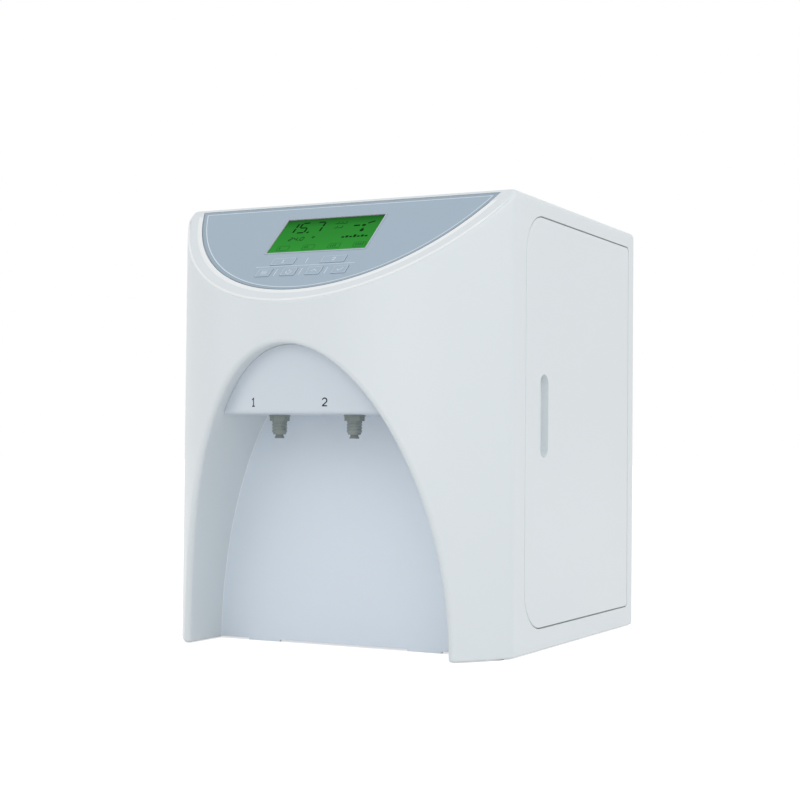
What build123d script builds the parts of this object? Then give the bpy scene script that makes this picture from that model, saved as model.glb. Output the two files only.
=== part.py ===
from build123d import *
import os
from math import cos, radians, sin, sqrt, tan

# A benchtop reverse osmosis water purifier for a laboratory, in millimetres.
# X runs across the front, Y from the bowed front to the back, and Z up.
# The origin is at the middle of the space that it fills, on the bench.

# Housing
WIDTH = 400.0
HEIGHT = 480.0
SIDE_DEPTH = 371.0  # flat side, from the console's top edge to the rear edge
BOW_DEPTH = 132.0  # how far the bow stands ahead of the console's top edge
CORNER_R = 20.0  # where the bow turns into the flat sides
WALL = 4.0
TOP_WALL = 6.0
SKIRT_GAP = 1.0  # the shell's lower edge over the bench
SOFT_EDGE = 6.0  # rounding of the upper edges
UPRIGHT_EDGE = 5.0  # rounding of the rear corners
FOOT_EDGE = 2.5  # rounding of the lower outer edge
FIT = 0.4  # clearance round a cover in its seat
SLIP = 0.05  # clearance round a screw, pin or motor in its hole
OVERRUN = 1.0  # how far a cut runs past the face that it opens
END_PLAY = 0.1  # clearance at the end of a slide or pin

# Console, a plane that falls forward from the top edge
TILT = 42.0
CONSOLE_WALL = 4.0
PANEL_FRONT_INSET = 13.6  # from the bow's front point to the panel, in plan
PANEL_SIDE_INSET = 17.0  # from the side to the panel's tips
PANEL_TOP_MARGIN = 4.5
PANEL_T = 2.0
PANEL_SINK = 0.5
PANEL_GAP = 0.8
WINDOW_W = 144.0  # opening in the shell behind the console panel
WINDOW_TOP = 22.0
WINDOW_BOTTOM = 138.0

# Display and keys, measured down the slope of the console
LCD_W = 119.0
LCD_H = 62.0
LCD_TOP = 30.0
LCD_RIM = 2.0
GLASS_T = 1.5
GLASS_LAP = 3.0
MODULE_W = 132.0
MODULE_H = 72.0
MODULE_T = 7.5
MODULE_LEG_R = 3.0
WIDE_KEY = (28.0, 12.0)
SMALL_KEY = (17.0, 13.5)
WIDE_KEY_X = 30.0
WIDE_KEY_DROP = 109.0
SMALL_KEYS = 4
SMALL_KEY_PITCH = 30.0
SMALL_KEY_DROP = 128.0
KEY_PROUD = 0.5
KEY_CLEAR = 0.3
KEY_FLANGE = 1.0
KEY_FLANGE_T = 0.8
KEY_STEM = 0.8
KEY_STEM_R = 2.0
KEY_TRAVEL = 0.5
KEY_CORNER = 1.2
SWITCH_SIDE = 6.0
SWITCH_H = 3.4
PLUNGER_H = 1.0
KEY_BOARD_W = 130.0
KEY_BOARD_TOP = 99.5
KEY_BOARD_BOTTOM = 139.5
BOARD_T = 1.6
BOARD_W = 176.0
BOARD_TOP = 12.0
BOARD_BOTTOM = 148.0
BOARD_DEPTH = 14.0  # under the console's face
POST_R = 4.0
POST_X = 80.0
POST_DROPS = (20.0, 138.0)

# Dispensing niche, an elliptical arch
ARCH_SIDE = 46.0  # column beside the niche, from the side to the arch's foot
ARCH_HEIGHT = 318.0
ARCH_EDGE = 4.5
NICHE_T = 3.0
NICHE_FLANGE = 8.0
NICHE_FOOT = 2.2
TAB_IN = 78.0
TAB_OUT = 118.0
TAB_GAP = 0.4
HOOD_SETBACK = 18.0  # hood face behind the bow
HOOD_BOTTOM = 247.0
HOOD_WALL = 3.0
HOOD_EDGE = 4.0
HOOD_FIT = 0.3
HOOD_BOSS_R = 5.0
HOOD_BOSS_L = 16.0
HOOD_BOSS_X = 66.0
HOOD_BOSS_LIFT = 7.0  # over the hood's underside
NICHE_BOSS_R = 4.5
NICHE_BOSS_L = 14.0
NICHE_BOSS_OUT = 3.0
NICHE_BOSS_TURNS = (12.0, 50.0, 130.0, 168.0)
TUBE_PASS_R = 6.0
PASS_Z = 288.0

# Push-in fittings for 6.35 mm tube
TUBE_R = 3.175
TUBE_BORE_R = 3.25
STUB_BORE_R = 3.5  # inner bores, which hold the tubes of the unit
NUT_R = 10.6
NUT_H = 6.2
PORT_R = 7.3
PORT_L = 12.6
PORT_TIP = 1.6
COLLET_PROUD = 4.0
COLLET_R = 4.7
COLLET_LIP = 1.4
COLLET_SLEEVE_R = 4.2
COLLET_SLEEVE_L = 5.0
COLLET_TRAVEL = 1.2
NUT_FLANGE_T = 1.6
NUT_HEX_R = 10.5
PORT_RIB = 0.5
PORT_RIB_W = 1.6
PORT_RIBS = 4
PORT_TIP_R = 6.2
PORT_BORE_L = 12.0
WATERWAY_R = 1.6
LOCKNUT_R = 10.5
LOCKNUT_H = 4.0
THREAD_SPARE = 2.0
STUB_R = 6.5
STUB_BORE = 8.0
STUB_L = 12.0
OUTLET_X = 45.0
OUTLET_BACK = 60.0  # ahead of the niche's back wall

# Rear panel
REAR_RECESS = 2.0
REAR_T = 1.5
REAR_FLANGE_T = 3.0
REAR_FLANGE_W = 14.0
REAR_GAP = 0.5
PORT_Z = 45.0
FEED_IN = 60.0  # from the side to the feed port
DRAIN_X = -70.0
INLET_IN = 60.0  # from the side to the power inlet
INLET_Z = 70.0
INLET_W = 30.0
INLET_H = 76.0
INLET_LAP = 7.0
INLET_FLANGE_T = 2.5
INLET_DEPTH = 28.0
SOCKET_W = 24.0
SOCKET_H = 16.0
SOCKET_DEPTH = 17.0
SOCKET_DROP = 22.0
BLADE = (2.0, 4.0)
BLADE_L = 14.0
BLADE_PITCH = 7.0
BLADE_STEP = 4.0
FUSE_W = 22.0
FUSE_H = 10.0
FUSE_DEPTH = 18.0
FUSE_RISE = 2.0
FUSE_CLEAR = 0.25
FUSE_LIP = 1.0
ROCKER_W = 20.0
ROCKER_R = 6.1
ROCKER_CLEAR = 0.4
ROCKER_SINK = 4.0
ROCKER_CREST = 4.6
ROCKER_RISE = 24.0
ROCKER_TURN = 16.0
ROCKER_PIN_R = 1.5
ROCKER_PIN_L = 2.0
VENT_W = 60.0
VENT_H = 4.0
VENT_PITCH = 11.0
VENT_ROWS = 9
VENT_IN = 105.0  # from the side to the vents
VENT_DROP = 120.0  # from the top to the middle of the vents

# Base
PAN_Z = 4.0
PAN_T = 2.0
PAN_FIT = 0.5
PAN_UPSTAND = 12.0
PAN_REAR_UPSTAND = 22.0
PAN_UPSTAND_FRONT = 10.0
PAN_UPSTAND_REAR = 290.0
PAN_VENTS = 5
PAN_VENT_Y = 180.0
FOOT_R = 9.5
FOOT_INSET = 18.0  # from the side
FRONT_FOOT_Y = -8.0  # from the console's top edge
REAR_FOOT_INSET = 60.0
FOOT_SINK = 2.6
BOSS_SIDE = 14.0
BOSS_H = 15.0

# Fasteners: large ones hold the shell and the sheets, small ones the boards and the hood
SCREW_R = 2.0
HEAD_R = 3.8
HEAD_H = 2.0
SCREW_BITE = 11.0
SMALL_R = 1.4
SMALL_HEAD_R = 2.6
SMALL_HEAD_H = 1.8
SMALL_BITE = 8.0
SHEET_BITE = 3.5
REAR_SCREW_INSET = 60.0  # from the bench and from the top
REAR_SCREW_ROWS = 3
REAR_SCREW_XS = (-90.0, 90.0)
PAN_SCREW_XS = (-110.0, 110.0)
PAN_SCREW_RISE = 10.0
COVER_SCREW_YS = (40.0, 185.0, 330.0)
FLANGE_SCREW_YS = (40.0, 180.0, 320.0)

# Top cover
COVER_RIM = 14.0
COVER_T = 3.0
COVER_LEDGE = 6.0
COVER_CORNER = 12.0

# Side doors
DOOR_FRONT = 25.1
DOOR_REAR_IN = 23.2  # from the rear edge
DOOR_LOW = 25.2
DOOR_DROP = 20.3  # from the top
DOOR_FRONT_R = 44.0
DOOR_REAR_R = 5.0
DOOR_GAP = 1.2
DOOR_SKIN = 3.0
DOOR_DEPTH = 10.0
DOOR_RIM = 2.5
DOOR_EDGE = 1.0
JAMB_T = 2.5
LIP_GAP = 0.3
LIP_T = 2.5
LIP_W = 8.0
HINGE_IN = 4.0
HINGE_BACK = 8.0
HINGE_R = 1.8
HINGE_RUN = 0.05
HINGE_BITE = 12.0
HINGE_HOLD = 7.0
HINGE_BLOCK = 16.0
SLOT_Y = 76.3
SLOT_Z = 249.0
SLOT_W = 23.5
SLOT_H = 88.5
SLOT_WALL = 2.0
MAGNET_H = 30.0
MAGNET_T = 5.0
MAGNET_W = 6.0
STRIKER_T = 1.0

# Water treatment inside
PARTITION_T = 1.5
PARTITION_DROP = 28.0  # from the top
PARTITION_FRONT = 14.0
PARTITION_REAR_GAP = 3.0
PARTITION_FLANGE = 18.0
BAY_IN = 105.0  # from the side to the cartridges
FIRST_Y = 78.0
PITCH = 84.0
PREFILTER_R = 38.0
PREFILTER_LOW = 66.0
PREFILTER_DROP = 65.0  # under the membrane's axis
PREFILTERS = 3
POLISHER_R = 36.0
POLISHER_LOW = 140.0
POLISHER_DROP = 79.0
POLISHERS = 2
NECK_R = 20.0
NECK_H = 8.0
HEAD_BLOCK_R = 26.0
HEAD_BLOCK_H = 30.0
HEAD_GAP = 2.0
HEAD_PORT_RISE = 16.0
HEAD_STUB = 10.0
CAN_FOOT = 14.0
CAN_EDGE = 4.0
BRACKET_T = 2.0
BRACKET_LIP = 24.0
BRACKET_FRONT = 42.0
BRACKET_REAR = 290.0
CLIP_Z = 200.0
CLIP_T = 3.0
CLIP_H = 22.0
CLIP_FIT = 0.3
CLIP_MOUTH = 30.0
CLIP_ARM = 10.0
MEMBRANE_CLIP_YS = (110.0, 230.0)
MEMBRANE_MOUTH = 26.0
MEMBRANE_PAD = 20.0
MEMBRANE_IN = 92.0  # from the side to its axis
MEMBRANE_DROP = 55.0  # from the top to its axis
MEMBRANE_R = 32.0
MEMBRANE_FRONT = 50.0
MEMBRANE_REAR = 310.0
MEMBRANE_CAP_R = 34.0
MEMBRANE_CAP_L = 24.0
MEMBRANE_STUB_X = 13.0
PUMP_IN = 92.0  # from the side to its axis
PUMP_Z = 66.0
PUMP_FRONT = 56.0
PUMP_HEAD_L = 44.0
PUMP_HEAD_W = 62.0
MOTOR_R = 41.0
MOTOR_L = 118.0
PUMP_PORT_RISE = 14.0
PUMP_HEAD_EDGE = 8.0
MOTOR_BOX = (40.0, 40.0, 12.0)
SUPPLY_FRONT = 206.0
SUPPLY_REAR = 292.0
SUPPLY_LOW = 120.0
SUPPLY_HIGH = 300.0
SUPPLY_T = 38.0
SUPPLY_SLOTS = 10
SUPPLY_SLOT_H = 3.0
SUPPLY_SLOT_PITCH = 9.0
VALVE_FRONT = 300.0
VALVE_L = 26.0
VALVE_SIDE = 24.0
VALVE_FOOT = 16.0
COIL_R = 13.0
COIL_H = 28.0
TEE_Y = 318.0
RESTRICTOR_LOW = 150.0
RESTRICTOR_L = 46.0
RESTRICTOR_R = 8.5
CRADLE_W = 60.0
CRADLE_INSET = 12.0
CRADLE_TOP = 42.0
CRADLE_BASE = 3.0
CRADLE_RIB = 12.0
CRADLE_FLANGE = 6.0
CABLE_R = 2.5
CABLE_BEND = 10.0
CONNECTOR = (18.0, 12.0, 6.0)
BEND = 24.0
END_SHARE = 0.7  # of an end run that its one arc may take
MIDDLE_SHARE = 0.48  # of a run between two arcs that each may take
TEE_ARM = 14.0
TUBE_IN = 7.0  # how far a tube stands in a bore
RESTRICTOR_Y = 312.0
CROSS_FALL = 54.0  # from the polishers' ports to the tank line's crossing of the partition
SUCTION_X = 25.0
SUCTION_Z = 24.0
PRESSURE_IN = 32.0
REJECT_TURN = 155.0  # under the membrane's axis
REJECT_FALL = 30.0
CABLE_TURN = 13.0
CABLE_OUT = 30.0
CABLE_DROP = 70.0
MOTOR_CABLE_Z = 113.0
BOARD_CABLE_END = (-20.0, -16.0, -44.0)  # from the console's top edge
REAR_RUN = 345.0  # where the tubes turn behind the membrane, from the console's top edge
FRONT_RUN = 18.0  # where they turn in front of the cartridges

# Places that follow from the sizes above
TILT_COS = cos(radians(TILT))
TILT_SIN = sin(radians(TILT))
PORT_REACH = NUT_H + PORT_L + PORT_TIP + COLLET_PROUD
REAR_REACH = PORT_REACH - REAR_RECESS
FRONT_Y = -(BOW_DEPTH + SIDE_DEPTH + REAR_REACH) / 2
CONSOLE_Y = FRONT_Y + BOW_DEPTH
REAR_Y = CONSOLE_Y + SIDE_DEPTH
HALF = WIDTH / 2
CORNER_X = HALF - CORNER_R
BOW_R = (CORNER_X**2 + BOW_DEPTH**2 - CORNER_R**2) / (2 * (BOW_DEPTH - CORNER_R))
BOW_CENTRE_Y = FRONT_Y + BOW_R
NICHE_Y = CONSOLE_Y
REAR_PANEL_Y = REAR_Y - REAR_RECESS - REAR_T
REAR_FLANGE_Y = REAR_PANEL_Y - REAR_FLANGE_T
PAN_TOP = PAN_Z + PAN_T
CONSOLE = Plane(origin=(0, CONSOLE_Y, HEIGHT), x_dir=(1, 0, 0), z_dir=(0, -TILT_SIN, TILT_COS))
DOOR_REAR = SIDE_DEPTH - DOOR_REAR_IN
HINGE_Y = CONSOLE_Y + DOOR_REAR - HINGE_BACK
HINGE_X = HALF - HINGE_IN
ARCH_HALF = HALF - ARCH_SIDE
DOOR_HIGH = HEIGHT - DOOR_DROP
FOOT_X = HALF - FOOT_INSET
FEED_X = HALF - FEED_IN
INLET_X = INLET_IN - HALF
VENT_X = HALF - VENT_IN
VENT_Z = HEIGHT - VENT_DROP
OUTLET_Y = NICHE_Y - OUTLET_BACK
TANK_X = OUTLET_X
REAR_FACE_Y = REAR_PANEL_Y + REAR_T
SIDE_REACH = HALF - WALL - REAR_FLANGE_W
INNER_TOP = HEIGHT - TOP_WALL
PANEL_FLOOR = PANEL_SINK + PANEL_T
MODULE_DEPTH = PANEL_FLOOR + GLASS_T
SWITCH_TOP = PANEL_FLOOR + KEY_FLANGE_T + KEY_STEM + KEY_TRAVEL + END_PLAY
PARTITION_TOP = HEIGHT - PARTITION_DROP
BAY_X = HALF - BAY_IN
MEMBRANE_X = MEMBRANE_IN - HALF
MEMBRANE_Z = HEIGHT - MEMBRANE_DROP
PREFILTER_HIGH = MEMBRANE_Z - PREFILTER_DROP
POLISHER_HIGH = MEMBRANE_Z - POLISHER_DROP
BRACKET_W = MEMBRANE_PAD - MEMBRANE_X
PUMP_X = PUMP_IN - HALF
PRESSURE_X = PRESSURE_IN - HALF
REJECT_TURN_Z = MEMBRANE_Z - REJECT_TURN
CABLE_Z = HEIGHT - CABLE_DROP
SIDES = (-1, 1)

os.makedirs("parts", exist_ok=True)


def write(piece, name):
    """Label a finished piece and write it as its own STEP file."""
    piece.label = name
    export_step(piece, f"parts/{name}.step")


def block(low, high, mode=Mode.ADD):
    """Add a box between two opposite corners."""
    size = [b - a for a, b in zip(low, high)]
    middle = tuple((a + b) / 2 for a, b in zip(low, high))
    with Locations(middle):
        Box(*size, mode=mode)


def discs(seat, steps, mode=Mode.ADD):
    """Add discs along a seat's axis, each with its start, end and radius."""
    for start, end, radius in steps:
        with BuildSketch(seat.offset(start)) as disc:
            Circle(radius)
        extrude(disc.sketch, amount=end - start, mode=mode)


def seat_at(point, direction):
    """Plane at a point whose normal is the direction that a fitting faces."""
    return Plane(origin=point, z_dir=direction)


def stub(seat, length):
    """Add a round stub with a blind bore for a tube, standing on a seat."""
    discs(seat, [(0, length, STUB_R)])
    discs(seat, [(length - STUB_BORE, length, STUB_BORE_R)], mode=Mode.SUBTRACT)


def twins(low, high, mode=Mode.ADD):
    """Add a box on the right and its mirror image on the left."""
    block(low, high, mode)
    block((-high[0], low[1], low[2]), (-low[0], high[1], high[2]), mode)


def bores(seats, depth, radius):
    """Cut a hole inwards from every seat."""
    for seat in seats:
        discs(seat, [(-depth, 0, radius)], mode=Mode.SUBTRACT)


def hexagon(seat, start, end, radius):
    """Add a hexagon along a seat's axis."""
    with BuildSketch(seat.offset(start)) as outline:
        RegularPolygon(radius, 6)
    extrude(outline.sketch, amount=end - start)


def at(x, y, z):
    """Point whose Y is measured from the console's top edge."""
    return (x, CONSOLE_Y + y, z)


def tube(points, bend, radius):
    """Bent tube along a route of straight runs joined by arcs, each as large as its runs leave room for."""
    runs = [Vector(b) - Vector(a) for a, b in zip(points, points[1:])]
    shares = [END_SHARE] + [MIDDLE_SHARE] * (len(runs) - 2) + [END_SHARE]
    rooms = [share * run.length for share, run in zip(shares, runs)]
    half_turns = [radians(a.get_angle(b)) / 2 for a, b in zip(runs, runs[1:])]
    bends = [min(bend, min(pair) / tan(half)) for pair, half in zip(zip(rooms, rooms[1:]), half_turns)]
    with BuildPart() as bent:
        with BuildLine() as route:
            if bends:
                FilletPolyline(*points, radius=bends)
            else:
                Line(*points)
        with BuildSketch(Plane(origin=route.line @ 0, z_dir=route.line % 0)):
            Circle(radius)
        sweep(path=route.line)
    return bent.part


def plan_face(inset, rear_y):
    """Plan outline of the housing, inset from its skin and closed at a rear line."""
    half = HALF - inset
    reach = BOW_R - CORNER_R
    bow_r = BOW_R - inset
    turn_x = bow_r * CORNER_X / reach
    turn_y = BOW_CENTRE_Y + bow_r * (CONSOLE_Y - BOW_CENTRE_Y) / reach
    with BuildSketch() as plan:
        with BuildLine():
            ThreePointArc((-turn_x, turn_y), (0, BOW_CENTRE_Y - bow_r), (turn_x, turn_y))
            TangentArc((half, CONSOLE_Y), (turn_x, turn_y), tangent=(0, -1))
            TangentArc((-half, CONSOLE_Y), (-turn_x, turn_y), tangent=(0, -1))
            Polyline((half, CONSOLE_Y), (half, rear_y), (-half, rear_y), (-half, CONSOLE_Y))
        make_face()
    return plan.sketch


def prism(face, low, high):
    """Upright prism on a plan face."""
    with BuildPart() as body:
        extrude(face.moved(Location((0, 0, low))), amount=high - low)
    return body.part


def over_console(drop):
    """Everything above the console plane, lowered by a drop along its normal."""
    edge = HEIGHT - drop / TILT_COS
    run = BOW_DEPTH * 2
    with BuildPart() as wedge:
        with BuildSketch(Plane.YZ):
            with BuildLine():
                front = CONSOLE_Y - run
                low = edge - run * tan(radians(TILT))
                above = 2 * HEIGHT
                Polyline((CONSOLE_Y, edge), (front, low), (front, above), (CONSOLE_Y, above), close=True)
            make_face()
        extrude(amount=WIDTH, both=True)
    return wedge.part


def arch_face(grow, foot):
    """Half ellipse of the niche in the XZ plane, grown outwards, standing on a foot line."""
    with BuildSketch() as arch:
        Ellipse(ARCH_HALF + grow, ARCH_HEIGHT + grow)
        with Locations((0, HEIGHT + foot)):
            Rectangle(2 * WIDTH, 2 * HEIGHT, mode=Mode.INTERSECT)
    return arch.sketch


def arch_prism(grow, foot, front, rear):
    """The niche's half ellipse as a solid between two Y places."""
    with BuildPart() as body:
        seat = Plane(origin=(0, front, 0), x_dir=(1, 0, 0), z_dir=(0, -1, 0))
        extrude(seat * arch_face(grow, foot), amount=front - rear)
    return body.part


def panel_face(grow):
    """Console panel's outline on the slope, one arc under a straight top, grown outwards."""
    tip_x = HALF - PANEL_SIDE_INSET
    sag = BOW_DEPTH - PANEL_FRONT_INSET
    arc_r = (tip_x**2 + sag**2) / (2 * sag)
    centre = (arc_r - sag) / TILT_COS
    with BuildSketch() as outline:
        with Locations((0, centre)):
            Ellipse(arc_r + grow, arc_r / TILT_COS + grow)
        with Locations((0, grow - PANEL_TOP_MARGIN - HEIGHT)):
            Rectangle(WIDTH * 2, HEIGHT * 2, mode=Mode.INTERSECT)
    return outline.sketch


def door_face(grow):
    """Side door's outline in the YZ plane, grown outwards."""
    low = DOOR_LOW - grow
    high = DOOR_HIGH + grow
    front = CONSOLE_Y + DOOR_FRONT - grow
    rear = CONSOLE_Y + DOOR_REAR + grow
    with BuildSketch() as outline:
        with Locations(((front + rear) / 2, (low + high) / 2)):
            Rectangle(rear - front, high - low)
        fillet(outline.vertices().group_by(Axis.X)[0], DOOR_FRONT_R + grow)
        fillet(outline.vertices().group_by(Axis.X)[-1], max(DOOR_REAR_R + grow, DOOR_EDGE))
    return outline.sketch


def door_slab(grow, outer, inner):
    """The door's outline as a slab between two X places."""
    with BuildPart() as slab:
        extrude(Plane.YZ.offset(inner) * door_face(grow), amount=outer - inner)
    return slab.part


def key_centres():
    """Centre down the slope and size of every key, in the order of their names."""
    wide = [((side * WIDE_KEY_X, -WIDE_KEY_DROP), WIDE_KEY) for side in SIDES]
    first = -(SMALL_KEYS - 1) * SMALL_KEY_PITCH / 2
    small = [((first + i * SMALL_KEY_PITCH, -SMALL_KEY_DROP), SMALL_KEY) for i in range(SMALL_KEYS)]
    return wide + small


def cover_face(grow):
    """Top cover's seat in plan, grown outwards."""
    front = CONSOLE_Y + COVER_RIM - grow
    rear = REAR_Y - COVER_RIM + grow
    with BuildSketch() as outline:
        with Locations((0, (front + rear) / 2)):
            RectangleRounded(WIDTH - 2 * COVER_RIM + 2 * grow, rear - front, COVER_CORNER + grow)
    return outline.sketch


def console_box(size, rise, top, bottom, corner=0, across=0, mode=Mode.ADD):
    """Add a plate parallel to the console, between two depths under its face."""
    with BuildSketch(CONSOLE.offset(-top)) as plate:
        with Locations((across, rise)):
            if corner:
                RectangleRounded(*size, corner)
            else:
                Rectangle(*size)
    extrude(plate.sketch, amount=top - bottom, mode=mode)


def below_console(across, drop, depth):
    """Plane under the console's face that looks into the housing."""
    point = CONSOLE.from_local_coords(Vector(across, -drop, -depth))
    return Plane(origin=point, x_dir=(1, 0, 0), z_dir=-CONSOLE.z_dir)


def post_places():
    """Where the posts for the control board stand on the console, across and down the slope."""
    return [(side * POST_X, drop) for drop in POST_DROPS for side in SIDES]


def niche_boss_places():
    """Where the bosses for the niche's back wall stand round the arch, in X and Z."""
    across = ARCH_HALF + WALL + NICHE_BOSS_OUT
    up = ARCH_HEIGHT + WALL + NICHE_BOSS_OUT
    return [(across * cos(radians(turn)), up * sin(radians(turn))) for turn in NICHE_BOSS_TURNS]


def port_body(seat, wall):
    """Add a push-in bulkhead body, its outer nut on the seat and a wall of this thickness behind it."""
    inner = -wall - LOCKNUT_H - THREAD_SPARE
    outer = NUT_H + PORT_L
    tip = outer + PORT_TIP
    step = PORT_L / PORT_RIBS
    ribs = [(NUT_H + i * step, NUT_H + i * step + PORT_RIB_W, PORT_R) for i in range(PORT_RIBS)]
    discs(seat, [(inner, NUT_H, PORT_R), (NUT_H, outer, PORT_R - PORT_RIB), (outer, tip, PORT_TIP_R)])
    discs(seat, ribs + [(inner - STUB_L, inner, STUB_R)])
    sleeve = (tip - COLLET_SLEEVE_L - COLLET_TRAVEL - END_PLAY, tip, COLLET_SLEEVE_R + SLIP)
    bore = (tip - PORT_BORE_L, tip, TUBE_BORE_R)
    waterway = (inner - STUB_L, outer, WATERWAY_R)
    inner_bore = (inner - STUB_L, inner - STUB_L + STUB_BORE, STUB_BORE_R)
    discs(seat, [sleeve, bore, waterway, inner_bore], mode=Mode.SUBTRACT)


def collet(seat):
    """Release collet of a push-in port, out at its end stop."""
    tip = NUT_H + PORT_L + PORT_TIP
    with BuildPart() as ring:
        discs(seat, [(tip - COLLET_SLEEVE_L, tip + COLLET_PROUD, COLLET_SLEEVE_R)])
        discs(seat, [(tip + COLLET_PROUD - COLLET_LIP, tip + COLLET_PROUD, COLLET_R)])
        discs(seat, [(tip - COLLET_SLEEVE_L, tip + COLLET_PROUD, TUBE_BORE_R)], mode=Mode.SUBTRACT)
    return ring.part


def screw(seat, reach, large=True):
    """Add a pan head screw whose head stands on the seat and whose shank reaches inwards."""
    head_h, head_r, shank_r = (HEAD_H, HEAD_R, SCREW_R) if large else (SMALL_HEAD_H, SMALL_HEAD_R, SMALL_R)
    discs(seat, [(0, head_h, head_r), (-reach, 0, shank_r)])


def cartridge(place):
    """Round cartridge with a domed foot, which hangs by its neck."""
    x, y, low, high, radius = place
    with BuildPart() as can:
        discs(Plane((x, y, low)), [(0, high - low, radius)])
        fillet(can.edges().group_by(Axis.Z)[0], CAN_FOOT)
        fillet(can.edges().group_by(Axis.Z)[-1], CAN_EDGE)
        discs(Plane((x, y, high)), [(0, NECK_H, NECK_R)])
    return can.part


def boss_places():
    """Where the shell's four bosses stand over the feet, in plan."""
    rows = (CONSOLE_Y + FRONT_FOOT_Y, REAR_Y - REAR_FOOT_INSET)
    return [(side * FOOT_X, row) for row in rows for side in SIDES]


# Seats of the screws' heads, each facing away from the piece that it holds
screw_pitch = (HEIGHT - 2 * REAR_SCREW_INSET) / (REAR_SCREW_ROWS - 1)
screw_zs = [REAR_SCREW_INSET + i * screw_pitch for i in range(REAR_SCREW_ROWS)]
rear_spots = [(side * (SIDE_REACH + REAR_FLANGE_W / 2), z) for side in SIDES for z in screw_zs]
rear_spots += [(x, INNER_TOP - REAR_FLANGE_W / 2) for x in REAR_SCREW_XS]
pan_spots = [(x, PAN_Z + PAN_SCREW_RISE) for x in PAN_SCREW_XS]
cover_x = HALF - COVER_RIM - COVER_LEDGE / 2
hood_z = HOOD_BOTTOM + HOOD_BOSS_LIFT
cradle_x = CRADLE_W / 2 + CRADLE_FLANGE / 2
motor_front = PUMP_FRONT + PUMP_HEAD_L
cradle_ys = (motor_front + CRADLE_FLANGE, motor_front + MOTOR_L - CRADLE_FLANGE)
foot_seats = [seat_at((x, y, FOOT_SINK), (0, 0, -1)) for x, y in boss_places()]
rear_seats = [seat_at((x, REAR_FACE_Y, z), (0, 1, 0)) for x, z in rear_spots]
pan_seats = [seat_at((x, REAR_FACE_Y, z), (0, 1, 0)) for x, z in pan_spots]
cover_z = HEIGHT - SMALL_HEAD_H
cover_seats = [Plane(at(side * cover_x, y, cover_z)) for side in SIDES for y in COVER_SCREW_YS]
niche_seats = [seat_at((x, NICHE_Y + NICHE_T, z), (0, 1, 0)) for x, z in niche_boss_places()]
hood_seats = [seat_at((side * HOOD_BOSS_X, NICHE_Y + NICHE_T, hood_z), (0, 1, 0)) for side in SIDES]
board_seats = [below_console(x, drop, BOARD_DEPTH + BOARD_T) for x, drop in post_places()]
flange_seats = [Plane(at(PARTITION_FLANGE / 2, y, PAN_TOP + PARTITION_T)) for y in FLANGE_SCREW_YS]
cradle_z = PAN_TOP + CRADLE_BASE
cradle_seats = [Plane(at(PUMP_X + side * cradle_x, y, cradle_z)) for side in SIDES for y in cradle_ys]
inlet_rise = (INLET_H + INLET_LAP) / 2
inlet_face_y = REAR_FACE_Y + INLET_FLANGE_T
inlet_zs = [INLET_Z + side * inlet_rise for side in SIDES]
inlet_seats = [seat_at((INLET_X, inlet_face_y, z), (0, 1, 0)) for z in inlet_zs]

# Seats of the ports' outer nuts, two over the niche and three on the rear panel
outlet_seats = [seat_at((side * OUTLET_X, OUTLET_Y, HOOD_BOTTOM), (0, 0, -1)) for side in SIDES]
port_seats = [seat_at((x, REAR_FACE_Y, PORT_Z), (0, 1, 0)) for x in (FEED_X, TANK_X, DRAIN_X)]

# Cartridges: three prefilters in the right bay, two polishers in the left
prefilter_ys = [FIRST_Y + i * PITCH for i in range(PREFILTERS)]
polisher_ys = prefilter_ys[:POLISHERS]
polisher_port_z = POLISHER_HIGH + HEAD_GAP + HEAD_PORT_RISE
cross_z = polisher_port_z - CROSS_FALL
prefilters = [at(BAY_X, y, PREFILTER_LOW) + (PREFILTER_HIGH, PREFILTER_R) for y in prefilter_ys]
polishers = [at(-BAY_X, y, POLISHER_LOW) + (POLISHER_HIGH, POLISHER_R) for y in polisher_ys]

# Solid form of the housing: bow, sides, sloping console and the tunnel of the niche
with BuildPart() as skin:
    add(prism(plan_face(0, REAR_Y), SKIRT_GAP, HEIGHT))
    fillet(skin.edges().filter_by(Axis.Z).group_by(Axis.Y)[-1], UPRIGHT_EDGE)
    add(over_console(0), mode=Mode.SUBTRACT)
    high_edges = skin.edges().filter_by(lambda e: e.center().Z > INNER_TOP)
    top_edges = high_edges.filter_by(lambda e: e.center().Y > CONSOLE_Y + OVERRUN)
    slope_edges = skin.edges().filter_by(GeomType.ELLIPSE)
    fillet(top_edges + slope_edges, SOFT_EDGE)
    add(arch_prism(0, 0, FRONT_Y - OVERRUN, NICHE_Y + NICHE_T), mode=Mode.SUBTRACT)
    tall_edges = skin.edges().filter_by(lambda e: e.bounding_box().size.Z > ARCH_HEIGHT / 2)
    fillet(tall_edges.filter_by(GeomType.BSPLINE), ARCH_EDGE)
    low_edges = skin.edges().group_by(Axis.Z)[0].filter_by(lambda e: e.center().Y < REAR_Y - CORNER_R)
    outer_edges = low_edges.filter_by(lambda e: abs(e.center().X) > ARCH_HALF + OVERRUN)
    fillet(outer_edges.filter_by(lambda e: e.geom_type != GeomType.BSPLINE), FOOT_EDGE)

# The space inside it
with BuildPart() as hollow:
    add(prism(plan_face(WALL, REAR_FLANGE_Y), 0, INNER_TOP))
    add(over_console(CONSOLE_WALL), mode=Mode.SUBTRACT)
    add(arch_prism(WALL, 0, FRONT_Y, NICHE_Y), mode=Mode.SUBTRACT)

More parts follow.
